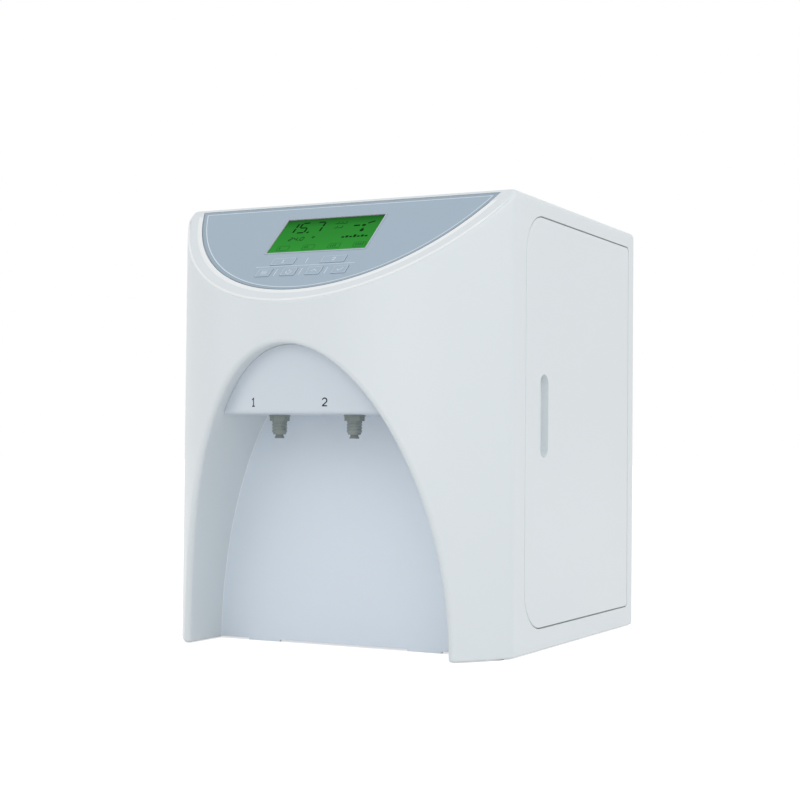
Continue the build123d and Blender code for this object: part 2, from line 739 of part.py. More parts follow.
# Frame round the right door: the jamb, the lip that the door lands on and the holds for the hinge pins
jamb_in = HALF - DOOR_DEPTH - LIP_GAP - LIP_T
lower_hold = (DOOR_LOW - DOOR_GAP - HINGE_HOLD, DOOR_LOW - DOOR_GAP)
upper_hold = (DOOR_HIGH + DOOR_GAP, DOOR_HIGH + DOOR_GAP + HINGE_HOLD)
with BuildPart() as door_frame:
    add(door_slab(DOOR_GAP + JAMB_T, HALF - WALL / 2, jamb_in))
    add(door_slab(DOOR_GAP, HALF, jamb_in), mode=Mode.SUBTRACT)
    add(door_slab(DOOR_GAP + JAMB_T / 2, jamb_in + LIP_T, jamb_in))
    add(door_slab(-LIP_W, HALF, jamb_in - OVERRUN), mode=Mode.SUBTRACT)
    block(
        (jamb_in - OVERRUN, HINGE_Y - HINGE_BACK - DOOR_GAP, DOOR_LOW - DOOR_GAP),
        (HALF - WALL, CONSOLE_Y + DOOR_REAR + DOOR_GAP, DOOR_HIGH + DOOR_GAP),
        mode=Mode.SUBTRACT,
    )
    for low, high in (lower_hold, upper_hold):
        block((jamb_in, HINGE_Y - HINGE_BACK, low), (HALF - WALL / 2, HINGE_Y + HINGE_BACK, high))
    add(door_frame.part.mirror(Plane.YZ))

# Bosses that the shell stands on over its feet, and those that hold the niche's back wall
with BuildPart() as bosses:
    for y in (CONSOLE_Y + FRONT_FOOT_Y, REAR_Y - REAR_FOOT_INSET):
        low = (FOOT_X - BOSS_SIDE / 2, y - BOSS_SIDE / 2, PAN_TOP)
        twins(low, (HALF - WALL / 2, y + BOSS_SIDE / 2, PAN_TOP + BOSS_H))
    add(prism(plan_face(WALL / 2, REAR_Y), PAN_TOP, HEIGHT), mode=Mode.INTERSECT)
    bores(foot_seats, PAN_TOP - FOOT_SINK + SCREW_BITE + OVERRUN, SCREW_R + SLIP)

with BuildPart() as niche_bosses:
    for seat in niche_seats:
        discs(seat, [(-NICHE_T - NICHE_BOSS_L, -NICHE_T, NICHE_BOSS_R)])
    bores(niche_seats, NICHE_T + SMALL_BITE + OVERRUN, SMALL_R + SLIP)
    add(arch_prism(WALL / 2, 0, FRONT_Y, NICHE_Y + OVERRUN), mode=Mode.SUBTRACT)

# Housing shell, one moulding from the bow to the rear rim
with BuildPart() as housing_shell:
    add(skin.part)
    add(hollow.part, mode=Mode.SUBTRACT)
    flange_low = (-SIDE_REACH, REAR_FLANGE_Y - OVERRUN, 0)
    block(flange_low, (SIDE_REACH, REAR_Y + OVERRUN, INNER_TOP - REAR_FLANGE_W), mode=Mode.SUBTRACT)
    block((WALL - HALF, REAR_PANEL_Y, 0), (HALF - WALL, REAR_Y + OVERRUN, INNER_TOP), mode=Mode.SUBTRACT)
    door_opening = door_slab(DOOR_GAP, HALF + OVERRUN, HALF - WALL - OVERRUN)
    add(door_opening, mode=Mode.SUBTRACT)
    add(door_opening.mirror(Plane.YZ), mode=Mode.SUBTRACT)
    add(door_frame.part)
    add(bosses.part)
    add(niche_bosses.part)
    pin_holes = [low + (HINGE_R + SLIP,) for low in (lower_hold, upper_hold)]
    for side in SIDES:
        discs(Plane((side * HINGE_X, HINGE_Y, 0)), pin_holes, mode=Mode.SUBTRACT)
    add(prism(cover_face(0), HEIGHT - COVER_T, HEIGHT + OVERRUN), mode=Mode.SUBTRACT)
    add(prism(cover_face(-COVER_LEDGE), INNER_TOP - OVERRUN, HEIGHT), mode=Mode.SUBTRACT)
    extrude(CONSOLE * panel_face(PANEL_GAP), amount=-PANEL_SINK - PANEL_T, mode=Mode.SUBTRACT)
    window = (WINDOW_W, WINDOW_BOTTOM - WINDOW_TOP)
    console_box(window, -(WINDOW_TOP + WINDOW_BOTTOM) / 2, 0, CONSOLE_WALL + OVERRUN, mode=Mode.SUBTRACT)
    for seat in board_seats:
        discs(seat, [(CONSOLE_WALL - OVERRUN - BOARD_DEPTH - BOARD_T, -BOARD_T, POST_R)])
    bores(board_seats, BOARD_T + SMALL_BITE + OVERRUN, SMALL_R + SLIP)
    bores(rear_seats, REAR_T + REAR_FLANGE_T + OVERRUN, SCREW_R + SLIP)
    bores(cover_seats, SMALL_BITE, SMALL_R + SLIP)
write(housing_shell.part, "housing_shell")

# Top cover, let into the shell's rebate
with BuildPart() as top_cover:
    add(prism(cover_face(-FIT), HEIGHT - COVER_T, HEIGHT))
    for seat in cover_seats:
        discs(seat, [(0, SMALL_HEAD_H, SMALL_HEAD_R + SLIP)], mode=Mode.SUBTRACT)
    bores(cover_seats, COVER_T, SMALL_R + SLIP)
write(top_cover.part, "top_cover")

# Rear panel with its vents and the openings for the ports and the power inlet
panel_x = HALF - WALL - REAR_GAP
with BuildPart() as rear_panel:
    block((-panel_x, REAR_PANEL_Y, PAN_Z), (panel_x, REAR_FACE_Y, INNER_TOP - REAR_GAP))
    with BuildSketch(Plane(origin=(0, REAR_FACE_Y, VENT_Z), x_dir=(1, 0, 0), z_dir=(0, 1, 0))) as vents:
        with GridLocations(2 * VENT_X, VENT_PITCH, 2, VENT_ROWS):
            SlotOverall(VENT_W, VENT_H)
    extrude(vents.sketch, amount=-REAR_T, mode=Mode.SUBTRACT)
    bores(port_seats, REAR_T, PORT_R + SLIP)
    bores(rear_seats + pan_seats, REAR_T, SCREW_R + SLIP)
    bores(inlet_seats, INLET_FLANGE_T + REAR_T, SMALL_R + SLIP)
    inlet_low = (INLET_X - INLET_W / 2 - FIT, REAR_PANEL_Y, INLET_Z - INLET_H / 2 - FIT)
    inlet_high = (INLET_X + INLET_W / 2 + FIT, REAR_FACE_Y, INLET_Z + INLET_H / 2 + FIT)
    block(inlet_low, inlet_high, mode=Mode.SUBTRACT)
write(rear_panel.part, "rear_panel")

# Base pan with upturned edges
pan_x = HALF - WALL - PAN_FIT
pan_niche_x = ARCH_HALF + WALL + NICHE_FLANGE + PAN_FIT
with BuildPart() as base_pan:
    add(prism(plan_face(WALL + PAN_FIT, REAR_PANEL_Y), PAN_Z, PAN_TOP))
    niche_rear = NICHE_Y + NICHE_T + PAN_FIT
    block((-pan_niche_x, FRONT_Y, 0), (pan_niche_x, niche_rear, PAN_TOP), mode=Mode.SUBTRACT)
    twins((SIDE_REACH - PAN_FIT, REAR_FLANGE_Y - PAN_FIT, 0), (HALF, REAR_Y, PAN_TOP), mode=Mode.SUBTRACT)
    side_rear = at(pan_x, PAN_UPSTAND_REAR, PAN_Z + PAN_UPSTAND)
    twins(at(pan_x - PAN_T, PAN_UPSTAND_FRONT, PAN_Z), side_rear)
    rear_low = (PAN_FIT - SIDE_REACH, REAR_PANEL_Y - PAN_T, PAN_Z)
    block(rear_low, (SIDE_REACH - PAN_FIT, REAR_PANEL_Y, PAN_Z + PAN_REAR_UPSTAND))
    with BuildSketch(Plane(at(BAY_X, PAN_VENT_Y, PAN_Z))) as pan_vents:
        with GridLocations(0, VENT_PITCH, 1, PAN_VENTS):
            SlotOverall(VENT_W, VENT_H)
    extrude(pan_vents.sketch, amount=PAN_T, mode=Mode.SUBTRACT)
    bores(foot_seats, PAN_TOP - FOOT_SINK, SCREW_R + SLIP)
    bores(pan_seats, REAR_T + PAN_T, SCREW_R + SLIP)
    bores(flange_seats, PARTITION_T + PAN_T, SMALL_R + SLIP)
    bores(cradle_seats, CRADLE_BASE + PAN_T, SMALL_R + SLIP)
write(base_pan.part, "base_pan")

# Rubber feet under the shell's bosses
with BuildPart() as rubber_feet:
    for seat in foot_seats:
        discs(seat, [(FOOT_SINK - PAN_Z, FOOT_SINK, FOOT_R)])
        hole = [(FOOT_SINK - PAN_Z, 0, SCREW_R + SLIP), (0, FOOT_SINK, HEAD_R + SLIP)]
        discs(seat, hole, mode=Mode.SUBTRACT)
write(rubber_feet.part, "rubber_feet")

# Niche's back wall, with two tabs that reach down to the bench
with BuildPart() as niche_panel:
    add(arch_prism(WALL + NICHE_FLANGE, NICHE_FOOT, NICHE_Y, NICHE_Y + NICHE_T))
    twins((TAB_IN, NICHE_Y, TAB_GAP), (TAB_OUT, NICHE_Y + NICHE_T, NICHE_FOOT + OVERRUN))
    bores(niche_seats + hood_seats, NICHE_T, SMALL_R + SLIP)
    passes = [seat_at((side * OUTLET_X, NICHE_Y + NICHE_T, PASS_Z), (0, 1, 0)) for side in SIDES]
    bores(passes, NICHE_T, TUBE_PASS_R)
write(niche_panel.part, "niche_panel")

# Hood over the outlets, open at the back
with BuildPart() as hood_space:
    hood_front = Plane((0, BOW_CENTRE_Y, HOOD_BOTTOM + HOOD_WALL))
    add(arch_prism(-HOOD_FIT - HOOD_WALL, HOOD_BOTTOM + HOOD_WALL, FRONT_Y, NICHE_Y))
    discs(hood_front, [(0, ARCH_HEIGHT, BOW_R - HOOD_SETBACK - HOOD_WALL)], mode=Mode.INTERSECT)

with BuildPart() as outlet_hood:
    add(arch_prism(-HOOD_FIT, HOOD_BOTTOM, FRONT_Y, NICHE_Y))
    discs(Plane((0, BOW_CENTRE_Y, 0)), [(0, HEIGHT, BOW_R - HOOD_SETBACK)], mode=Mode.INTERSECT)
    fillet(outlet_hood.edges().filter_by(GeomType.CIRCLE).group_by(Axis.Z)[0], HOOD_EDGE)
    add(hood_space.part, mode=Mode.SUBTRACT)
    for seat in hood_seats:
        discs(seat, [(-NICHE_T - HOOD_BOSS_L, -NICHE_T, HOOD_BOSS_R)])
    bores(hood_seats, NICHE_T + SMALL_BITE + OVERRUN, SMALL_R + SLIP)
    bores(outlet_seats, HOOD_WALL, PORT_R + SLIP)
write(outlet_hood.part, "outlet_hood")

# Console panel, set into the slope
lcd_rise = -LCD_TOP - LCD_H / 2
rim_size = (LCD_W + 2 * LCD_RIM, LCD_H + 2 * LCD_RIM)
with BuildPart() as console_panel:
    extrude(CONSOLE.offset(-PANEL_SINK) * panel_face(0), amount=-PANEL_T)
    rim_hole = (rim_size[0] + 2 * SLIP, rim_size[1] + 2 * SLIP)
    console_box(rim_hole, lcd_rise, 0, PANEL_FLOOR, LCD_RIM, mode=Mode.SUBTRACT)
    for (across, rise), (wide, tall) in key_centres():
        hole = (wide + 2 * KEY_CLEAR, tall + 2 * KEY_CLEAR)
        console_box(hole, rise, 0, PANEL_FLOOR, KEY_CORNER + KEY_CLEAR, across, mode=Mode.SUBTRACT)
write(console_panel.part, "console_panel")

# Display: a rim in the panel, the glass under it and the module behind
with BuildPart() as lcd_frame:
    console_box(rim_size, lcd_rise, PANEL_SINK / 2, PANEL_FLOOR, LCD_RIM)
    console_box((LCD_W, LCD_H), lcd_rise, 0, PANEL_FLOOR, mode=Mode.SUBTRACT)
write(lcd_frame.part, "lcd_frame")

with BuildPart() as lcd_window:
    console_box((LCD_W + 2 * GLASS_LAP, LCD_H + 2 * GLASS_LAP), lcd_rise, PANEL_FLOOR, MODULE_DEPTH)
write(lcd_window.part, "lcd_window")

with BuildPart() as lcd_module:
    console_box((MODULE_W, MODULE_H), lcd_rise, MODULE_DEPTH, MODULE_DEPTH + MODULE_T)
    leg_in = 2 * MODULE_LEG_R
    with BuildSketch(CONSOLE.offset(-MODULE_DEPTH - MODULE_T)) as legs:
        with Locations((0, lcd_rise)):
            with GridLocations(MODULE_W - leg_in, MODULE_H - leg_in, 2, 2):
                Circle(MODULE_LEG_R)
    extrude(legs.sketch, amount=MODULE_DEPTH + MODULE_T - BOARD_DEPTH)
write(lcd_module.part, "lcd_module")

# Keys: a cap through the panel, a flange that keeps it in and a stem over its switch
for i, ((across, rise), (wide, tall)) in enumerate(key_centres()):
    with BuildPart() as key:
        console_box((wide, tall), rise, PANEL_SINK - KEY_PROUD, PANEL_FLOOR, KEY_CORNER, across)
        flange = (wide + 2 * KEY_FLANGE, tall + 2 * KEY_FLANGE)
        console_box(flange, rise, PANEL_FLOOR, PANEL_FLOOR + KEY_FLANGE_T, KEY_CORNER, across)
        discs(below_console(across, -rise, PANEL_FLOOR + KEY_FLANGE_T), [(0, KEY_STEM, KEY_STEM_R)])
    write(key.part, f"key_{i + 1}")

# Key board: a switch under each key, the circuit board and its spacers on the control board
key_board_depth = SWITCH_TOP + SWITCH_H
key_board_rise = -(KEY_BOARD_TOP + KEY_BOARD_BOTTOM) / 2
key_board_size = (KEY_BOARD_W, KEY_BOARD_BOTTOM - KEY_BOARD_TOP)
with BuildPart() as key_board:
    console_box(key_board_size, key_board_rise, key_board_depth, key_board_depth + BOARD_T)
    for (across, rise), _ in key_centres():
        console_box((SWITCH_SIDE, SWITCH_SIDE), rise, SWITCH_TOP + PLUNGER_H, key_board_depth, 0, across)
        discs(below_console(across, -rise, SWITCH_TOP), [(0, PLUNGER_H, KEY_STEM_R)])
    with BuildSketch(CONSOLE.offset(-key_board_depth - BOARD_T)) as spacers:
        with Locations((0, key_board_rise)):
            with GridLocations(key_board_size[0] - leg_in, key_board_size[1] - leg_in, 2, 2):
                Circle(MODULE_LEG_R)
    extrude(spacers.sketch, amount=key_board_depth + BOARD_T - BOARD_DEPTH)
write(key_board.part, "key_board")

# Control board on the console's posts
with BuildPart() as control_board:
    back_depth = BOARD_DEPTH + BOARD_T
    board_size = (BOARD_W, BOARD_BOTTOM - BOARD_TOP)
    console_box(board_size, -(BOARD_TOP + BOARD_BOTTOM) / 2, BOARD_DEPTH, back_depth)
    for drop in (LCD_TOP, LCD_TOP + LCD_H):
        for side in SIDES:
            place = (side * CONNECTOR[0] * 2, -drop)
            console_box(CONNECTOR[:2], place[1], back_depth, back_depth + CONNECTOR[2], 0, place[0])
    bores(board_seats, BOARD_T, SMALL_R + SLIP)
write(control_board.part, "control_board")

# Hinge pins, held by the shell and standing in the doors
with BuildPart() as hinge_pins:
    for side in SIDES:
        lower = (lower_hold[0], DOOR_LOW + HINGE_BITE, HINGE_R)
        upper = (DOOR_HIGH - HINGE_BITE, upper_hold[1], HINGE_R)
        discs(Plane((side * HINGE_X, HINGE_Y, 0)), [lower, upper])
write(hinge_pins.part, "hinge_pins")

# Right door: a skin with a deep rim, the finger pocket, hinge blocks and the striker's boss
door_in = HALF - DOOR_DEPTH
slot_low, slot_high = SLOT_Z - MAGNET_H / 2, SLOT_Z + MAGNET_H / 2
striker_front = DOOR_FRONT + DOOR_RIM
slot_place = Plane.YZ.offset(door_in) * Location((CONSOLE_Y + SLOT_Y, SLOT_Z, 0))
with BuildPart() as door_right:
    add(door_slab(0, HALF, door_in))
    fillet(door_right.edges().group_by(Axis.X)[-1], DOOR_EDGE)
    add(door_slab(-DOOR_RIM, HALF - DOOR_SKIN, door_in - OVERRUN), mode=Mode.SUBTRACT)
    with BuildSketch(slot_place) as pocket:
        SlotOverall(SLOT_H + 2 * SLOT_WALL, SLOT_W + 2 * SLOT_WALL, rotation=90)
    extrude(pocket.sketch, amount=DOOR_DEPTH - DOOR_SKIN)
    with BuildSketch(slot_place) as slot:
        SlotOverall(SLOT_H, SLOT_W, rotation=90)
    extrude(slot.sketch.moved(Location((SLOT_WALL, 0, 0))), amount=DOOR_DEPTH, mode=Mode.SUBTRACT)
    hinge_front, hinge_rear = HINGE_Y - HINGE_BACK, HINGE_Y + HINGE_BACK - DOOR_EDGE
    for low, high in ((DOOR_LOW, DOOR_LOW + HINGE_BLOCK), (DOOR_HIGH - HINGE_BLOCK, DOOR_HIGH)):
        block((door_in, hinge_front, low + DOOR_EDGE), (HALF - DOOR_EDGE, hinge_rear, high - DOOR_EDGE))
    pin_bore = HINGE_BITE + END_PLAY
    low_bore = (DOOR_LOW, DOOR_LOW + pin_bore, HINGE_R + HINGE_RUN)
    high_bore = (DOOR_HIGH - pin_bore, DOOR_HIGH, HINGE_R + HINGE_RUN)
    discs(Plane((HINGE_X, HINGE_Y, 0)), [low_bore, high_bore], mode=Mode.SUBTRACT)
    boss_rear = at(HALF - DOOR_SKIN, striker_front + MAGNET_W, slot_high)
    block(at(door_in + STRIKER_T, striker_front, slot_low), boss_rear)
write(door_right.part, "door_right")

with BuildPart() as door_left:
    add(door_right.part.mirror(Plane.YZ))
write(door_left.part, "door_left")

with BuildPart() as striker_right:
    striker_rear = striker_front + MAGNET_W
    block(at(door_in, striker_front, slot_low), at(door_in + STRIKER_T, striker_rear, slot_high))
write(striker_right.part, "striker_right")

with BuildPart() as striker_left:
    add(striker_right.part.mirror(Plane.YZ))
write(striker_left.part, "striker_left")

# Magnets on the inner side of the lips
with BuildPart() as door_magnets:
    twins(at(jamb_in - MAGNET_T, striker_front, slot_low), at(jamb_in, striker_front + MAGNET_W, slot_high))
write(door_magnets.part, "door_magnets")

# Push-in ports: bodies, outer nuts, locknuts and release collets
with BuildPart() as outlet_bodies:
    for seat in outlet_seats:
        port_body(seat, HOOD_WALL)
write(outlet_bodies.part, "outlet_bodies")

with BuildPart() as rear_ports:
    for seat in port_seats:
        port_body(seat, REAR_T)
write(rear_ports.part, "rear_ports")

with BuildPart() as port_nuts:
    for seat in outlet_seats + port_seats:
        discs(seat, [(0, NUT_FLANGE_T, NUT_R)])
        hexagon(seat, NUT_FLANGE_T, NUT_H, NUT_HEX_R)
        discs(seat, [(0, NUT_H, PORT_R + SLIP)], mode=Mode.SUBTRACT)
write(port_nuts.part, "port_nuts")

lock_seats = [(seat, HOOD_WALL) for seat in outlet_seats] + [(seat, REAR_T) for seat in port_seats]
with BuildPart() as locknuts:
    for seat, wall in lock_seats:
        hexagon(seat, -wall - LOCKNUT_H, -wall, LOCKNUT_R)
        discs(seat, [(-wall - LOCKNUT_H, -wall, PORT_R + SLIP)], mode=Mode.SUBTRACT)
write(locknuts.part, "locknuts")

collet_names = ("collet_1", "collet_2", "feed_collet", "tank_collet", "drain_collet")
for seat, name in zip(outlet_seats + port_seats, collet_names):
    write(collet(seat), name)

# Power inlet: flange, body, socket with its blades and the wells of the fuse drawer and the switch
inlet_front = REAR_FACE_Y + INLET_FLANGE_T - INLET_DEPTH
fuse_z = INLET_Z + FUSE_RISE
rocker_z = INLET_Z + ROCKER_RISE
socket_z = INLET_Z - SOCKET_DROP
with BuildPart() as power_inlet:
    lap_x = INLET_W / 2 + INLET_LAP
    lap_z = INLET_H / 2 + INLET_LAP
    block((INLET_X - lap_x, REAR_FACE_Y, INLET_Z - lap_z), (INLET_X + lap_x, inlet_face_y, INLET_Z + lap_z))
    fillet(power_inlet.edges().filter_by(Axis.Y), INLET_LAP / 2)
    body_low = (INLET_X - INLET_W / 2, inlet_front, INLET_Z - INLET_H / 2)
    block(body_low, (INLET_X + INLET_W / 2, REAR_FACE_Y, INLET_Z + INLET_H / 2))
    wells = [(SOCKET_W, SOCKET_H, SOCKET_DEPTH, socket_z), (FUSE_W, FUSE_H, FUSE_DEPTH, fuse_z)]
    rocker_well = 2 * (ROCKER_R + ROCKER_CLEAR)
    wells += [(ROCKER_W, rocker_well, ROCKER_SINK + rocker_well / 2, rocker_z)]
    for wide, tall, deep, z in wells:
        well_low = (INLET_X - wide / 2, inlet_face_y - deep, z - tall / 2)
        block(well_low, (INLET_X + wide / 2, inlet_face_y, z + tall / 2), mode=Mode.SUBTRACT)
    step = BLADE_STEP / 2
    for across, up in ((-BLADE_PITCH, -step), (0, step), (BLADE_PITCH, -step)):
        x, z = INLET_X + across, socket_z + up
        floor_y = inlet_face_y - SOCKET_DEPTH
        blade_low = (x - BLADE[0] / 2, floor_y, z - BLADE[1] / 2)
        block(blade_low, (x + BLADE[0] / 2, floor_y + BLADE_L, z + BLADE[1] / 2))
    bores(inlet_seats, INLET_FLANGE_T, SMALL_R + SLIP)
    rocker_y = inlet_face_y - ROCKER_SINK
    pin_x = ROCKER_W / 2 + ROCKER_PIN_L
    pivot = seat_at((INLET_X - pin_x, rocker_y, rocker_z), (1, 0, 0))
    discs(pivot, [(0, 2 * pin_x, ROCKER_PIN_R + SLIP)], mode=Mode.SUBTRACT)
write(power_inlet.part, "power_inlet")

with BuildPart() as fuse_drawer:
    fuse_x = FUSE_W / 2 - FUSE_CLEAR
    fuse_half = FUSE_H / 2 - FUSE_CLEAR
    fuse_low = (INLET_X - fuse_x, inlet_face_y - FUSE_DEPTH, fuse_z - fuse_half)
    block(fuse_low, (INLET_X + fuse_x, inlet_face_y, fuse_z + fuse_half))
    lip_low = (INLET_X - fuse_x - 2 * FUSE_CLEAR, inlet_face_y, fuse_z - FUSE_H / 2)
    block(lip_low, (INLET_X + fuse_x + 2 * FUSE_CLEAR, inlet_face_y + FUSE_LIP, fuse_z + FUSE_H / 2))
write(fuse_drawer.part, "fuse_drawer")

# Switch rocker on its pins, pressed in at the top
rocker_seat = Plane(origin=(INLET_X, rocker_y, rocker_z), x_dir=(0, 1, 0), z_dir=(1, 0, 0))
rocker_block = (2 * ROCKER_W, 2 * ROCKER_W)
with BuildPart() as switch_rocker:
    with BuildSketch(rocker_seat) as profile:
        Circle(ROCKER_R)
        for turn in (0, ROCKER_TURN):
            tilt = Location((0, 0, 0), (0, 0, turn))
            with Locations(tilt * Location((ROCKER_CREST, 0, 0))):
                Rectangle(*rocker_block, align=(Align.MAX, Align.CENTER), mode=Mode.INTERSECT)
    extrude(profile.sketch, amount=ROCKER_W / 2 - ROCKER_CLEAR, both=True)
    discs(pivot, [(END_PLAY, 2 * pin_x - END_PLAY, ROCKER_PIN_R)])
write(switch_rocker.part, "switch_rocker")

# Partition between the two bays, with the openings for the tubes that cross it
cross_y = REAR_RUN + (TEE_Y - REAR_RUN) * BAY_X / (BAY_X + TANK_X)
pump_port_z = PUMP_Z + PUMP_PORT_RISE
pass_spots = ((FIRST_Y, pump_port_z), (cross_y, cross_z))
with BuildPart() as partition:
    partition_rear = REAR_PANEL_Y - PARTITION_REAR_GAP
    partition_front = CONSOLE_Y + PARTITION_FRONT
    block((-PARTITION_T / 2, partition_front, PAN_TOP), (PARTITION_T / 2, partition_rear, PARTITION_TOP))
    flange_rear = partition_rear - PAN_T
    block((0, partition_front, PAN_TOP), (PARTITION_FLANGE, flange_rear, PAN_TOP + PARTITION_T))
    passes = [seat_at(at(PARTITION_T / 2, y, z), (1, 0, 0)) for y, z in pass_spots]
    bores(passes, PARTITION_T, TUBE_PASS_R)
    bores(flange_seats, PARTITION_T, SMALL_R + SLIP)
write(partition.part, "partition")

# Cartridges
for i, place in enumerate(prefilters):
    write(cartridge(place), f"prefilter_{i + 1}")
for i, place in enumerate(polishers):
    write(cartridge(place), f"polisher_{i + 1}")

with BuildPart() as cartridge_heads:
    for x, y, _, high, _ in prefilters + polishers:
        floor_z = high + HEAD_GAP
        discs(Plane((x, y, floor_z)), [(0, HEAD_BLOCK_H, HEAD_BLOCK_R)])
        for side in SIDES:
            stub(seat_at((x, y, floor_z + HEAD_PORT_RISE), (0, side, 0)), HEAD_BLOCK_R + HEAD_STUB)
        discs(Plane((x, y, floor_z)), [(0, NECK_H - HEAD_GAP, NECK_R + SLIP)], mode=Mode.SUBTRACT)
write(cartridge_heads.part, "cartridge_heads")

# Brackets that the heads hang from, fixed to the partition
bracket_in = PARTITION_T / 2
with BuildPart() as head_brackets:
    for side, high in ((1, PREFILTER_HIGH), (-1, POLISHER_HIGH)):
        plate_z = high + HEAD_GAP + HEAD_BLOCK_H
        plate_x = sorted((side * bracket_in, side * BRACKET_W))
        lip_x = sorted((side * bracket_in, side * (bracket_in + BRACKET_T)))
        plate_top = plate_z + BRACKET_T
        block(at(plate_x[0], BRACKET_FRONT, plate_z), at(plate_x[1], BRACKET_REAR, plate_top))
        block(at(lip_x[0], BRACKET_FRONT, plate_z - BRACKET_LIP), at(lip_x[1], BRACKET_REAR, plate_z))
write(head_brackets.part, "head_brackets")

# Sprung clips: a ring with a mouth on an arm from the partition
with BuildPart() as cartridge_clips:
    for x, y, _, _, radius in prefilters + polishers:
        side = 1 if x > 0 else -1
        ring_r = radius + CLIP_FIT
        root, tip = side * bracket_in, x - side * radius
        low_x, high_x = min(root, tip), max(root, tip)
        block((low_x, y - CLIP_ARM / 2, CLIP_Z), (high_x, y + CLIP_ARM / 2, CLIP_Z + CLIP_H))
        discs(Plane((x, y, CLIP_Z)), [(0, CLIP_H, ring_r + CLIP_T)])
        discs(Plane((x, y, CLIP_Z)), [(0, CLIP_H, ring_r)], mode=Mode.SUBTRACT)
        far = x + side * (ring_r + CLIP_T)
        mouth_low, mouth_high = min(x, far), max(x, far)
        mouth_rear = (mouth_high, y + CLIP_MOUTH, CLIP_Z + CLIP_H)
        block((mouth_low, y - CLIP_MOUTH, CLIP_Z), mouth_rear, mode=Mode.SUBTRACT)
write(cartridge_clips.part, "cartridge_clips")

# Membrane housing, lying over the polishers in two clips
membrane_seat = seat_at(at(MEMBRANE_X, MEMBRANE_FRONT, MEMBRANE_Z), (0, 1, 0))
membrane_l = MEMBRANE_REAR - MEMBRANE_FRONT
with BuildPart() as membrane_housing:
    discs(membrane_seat, [(0, membrane_l, MEMBRANE_R), (0, MEMBRANE_CAP_L, MEMBRANE_CAP_R)])
    discs(membrane_seat, [(membrane_l - MEMBRANE_CAP_L, membrane_l, MEMBRANE_CAP_R)])
    stub(seat_at(at(MEMBRANE_X, MEMBRANE_FRONT, MEMBRANE_Z), (0, -1, 0)), HEAD_STUB)
    for side in SIDES:
        rear_stub = at(MEMBRANE_X + side * MEMBRANE_STUB_X, MEMBRANE_REAR, MEMBRANE_Z)
        stub(seat_at(rear_stub, (0, 1, 0)), HEAD_STUB)
write(membrane_housing.part, "membrane_housing")

rest_z = POLISHER_HIGH + HEAD_GAP + HEAD_BLOCK_H + BRACKET_T
with BuildPart() as membrane_clips:
    for y in MEMBRANE_CLIP_YS:
        clip_low = at(MEMBRANE_X - MEMBRANE_PAD, y, rest_z)
        block(clip_low, at(MEMBRANE_X + MEMBRANE_PAD, y + CLIP_H, MEMBRANE_Z - MEMBRANE_PAD))
        clip_seat = seat_at(at(MEMBRANE_X, y, MEMBRANE_Z), (0, 1, 0))
        discs(clip_seat, [(0, CLIP_H, MEMBRANE_R + CLIP_FIT + CLIP_T)])
        discs(clip_seat, [(0, CLIP_H, MEMBRANE_R + CLIP_FIT)], mode=Mode.SUBTRACT)
        mouth_rear = at(MEMBRANE_X + MEMBRANE_MOUTH, y + CLIP_H, HEIGHT)
        block(at(MEMBRANE_X - MEMBRANE_MOUTH, y, MEMBRANE_Z), mouth_rear, mode=Mode.SUBTRACT)
write(membrane_clips.part, "membrane_clips")

# Booster pump: head, motor and the cradle under it
with BuildPart() as pump_head:
    pump_low = at(PUMP_X - PUMP_HEAD_W / 2, PUMP_FRONT, PUMP_Z - PUMP_HEAD_W / 2)
    block(pump_low, at(PUMP_X + PUMP_HEAD_W / 2, motor_front, PUMP_Z + PUMP_HEAD_W / 2))
    fillet(pump_head.edges().filter_by(Axis.Y), PUMP_HEAD_EDGE)
    for side in SIDES:
        stub(seat_at(at(PUMP_X, FIRST_Y, pump_port_z), (side, 0, 0)), PUMP_HEAD_W / 2 + HEAD_STUB)
write(pump_head.part, "pump_head")

motor_seat = seat_at(at(PUMP_X, motor_front, PUMP_Z), (0, 1, 0))
with BuildPart() as pump_motor:
    discs(motor_seat, [(0, MOTOR_L, MOTOR_R)])
    fillet(pump_motor.edges().group_by(Axis.Y)[-1], CAN_EDGE)
    box_y = motor_front + MOTOR_BOX[1] / 2
    box_low = at(PUMP_X - MOTOR_BOX[0] / 2, box_y, PUMP_Z)
    block(box_low, at(PUMP_X + MOTOR_BOX[0] / 2, box_y + MOTOR_BOX[1], PUMP_Z + MOTOR_R + MOTOR_BOX[2]))
write(pump_motor.part, "pump_motor")

with BuildPart() as pump_cradle:
    base_x = CRADLE_W / 2 + CRADLE_FLANGE
    base_low = at(PUMP_X - base_x, motor_front, PAN_TOP)
    block(base_low, at(PUMP_X + base_x, motor_front + MOTOR_L, PAN_TOP + CRADLE_BASE))
    for start in (CRADLE_INSET, MOTOR_L - CRADLE_INSET - CRADLE_RIB):
        rib_low = at(PUMP_X - CRADLE_W / 2, motor_front + start, PAN_TOP)
        block(rib_low, at(PUMP_X + CRADLE_W / 2, motor_front + start + CRADLE_RIB, CRADLE_TOP))
    discs(motor_seat, [(0, MOTOR_L, MOTOR_R + SLIP)], mode=Mode.SUBTRACT)
    bores(cradle_seats, CRADLE_BASE, SMALL_R + SLIP)
write(pump_cradle.part, "pump_cradle")

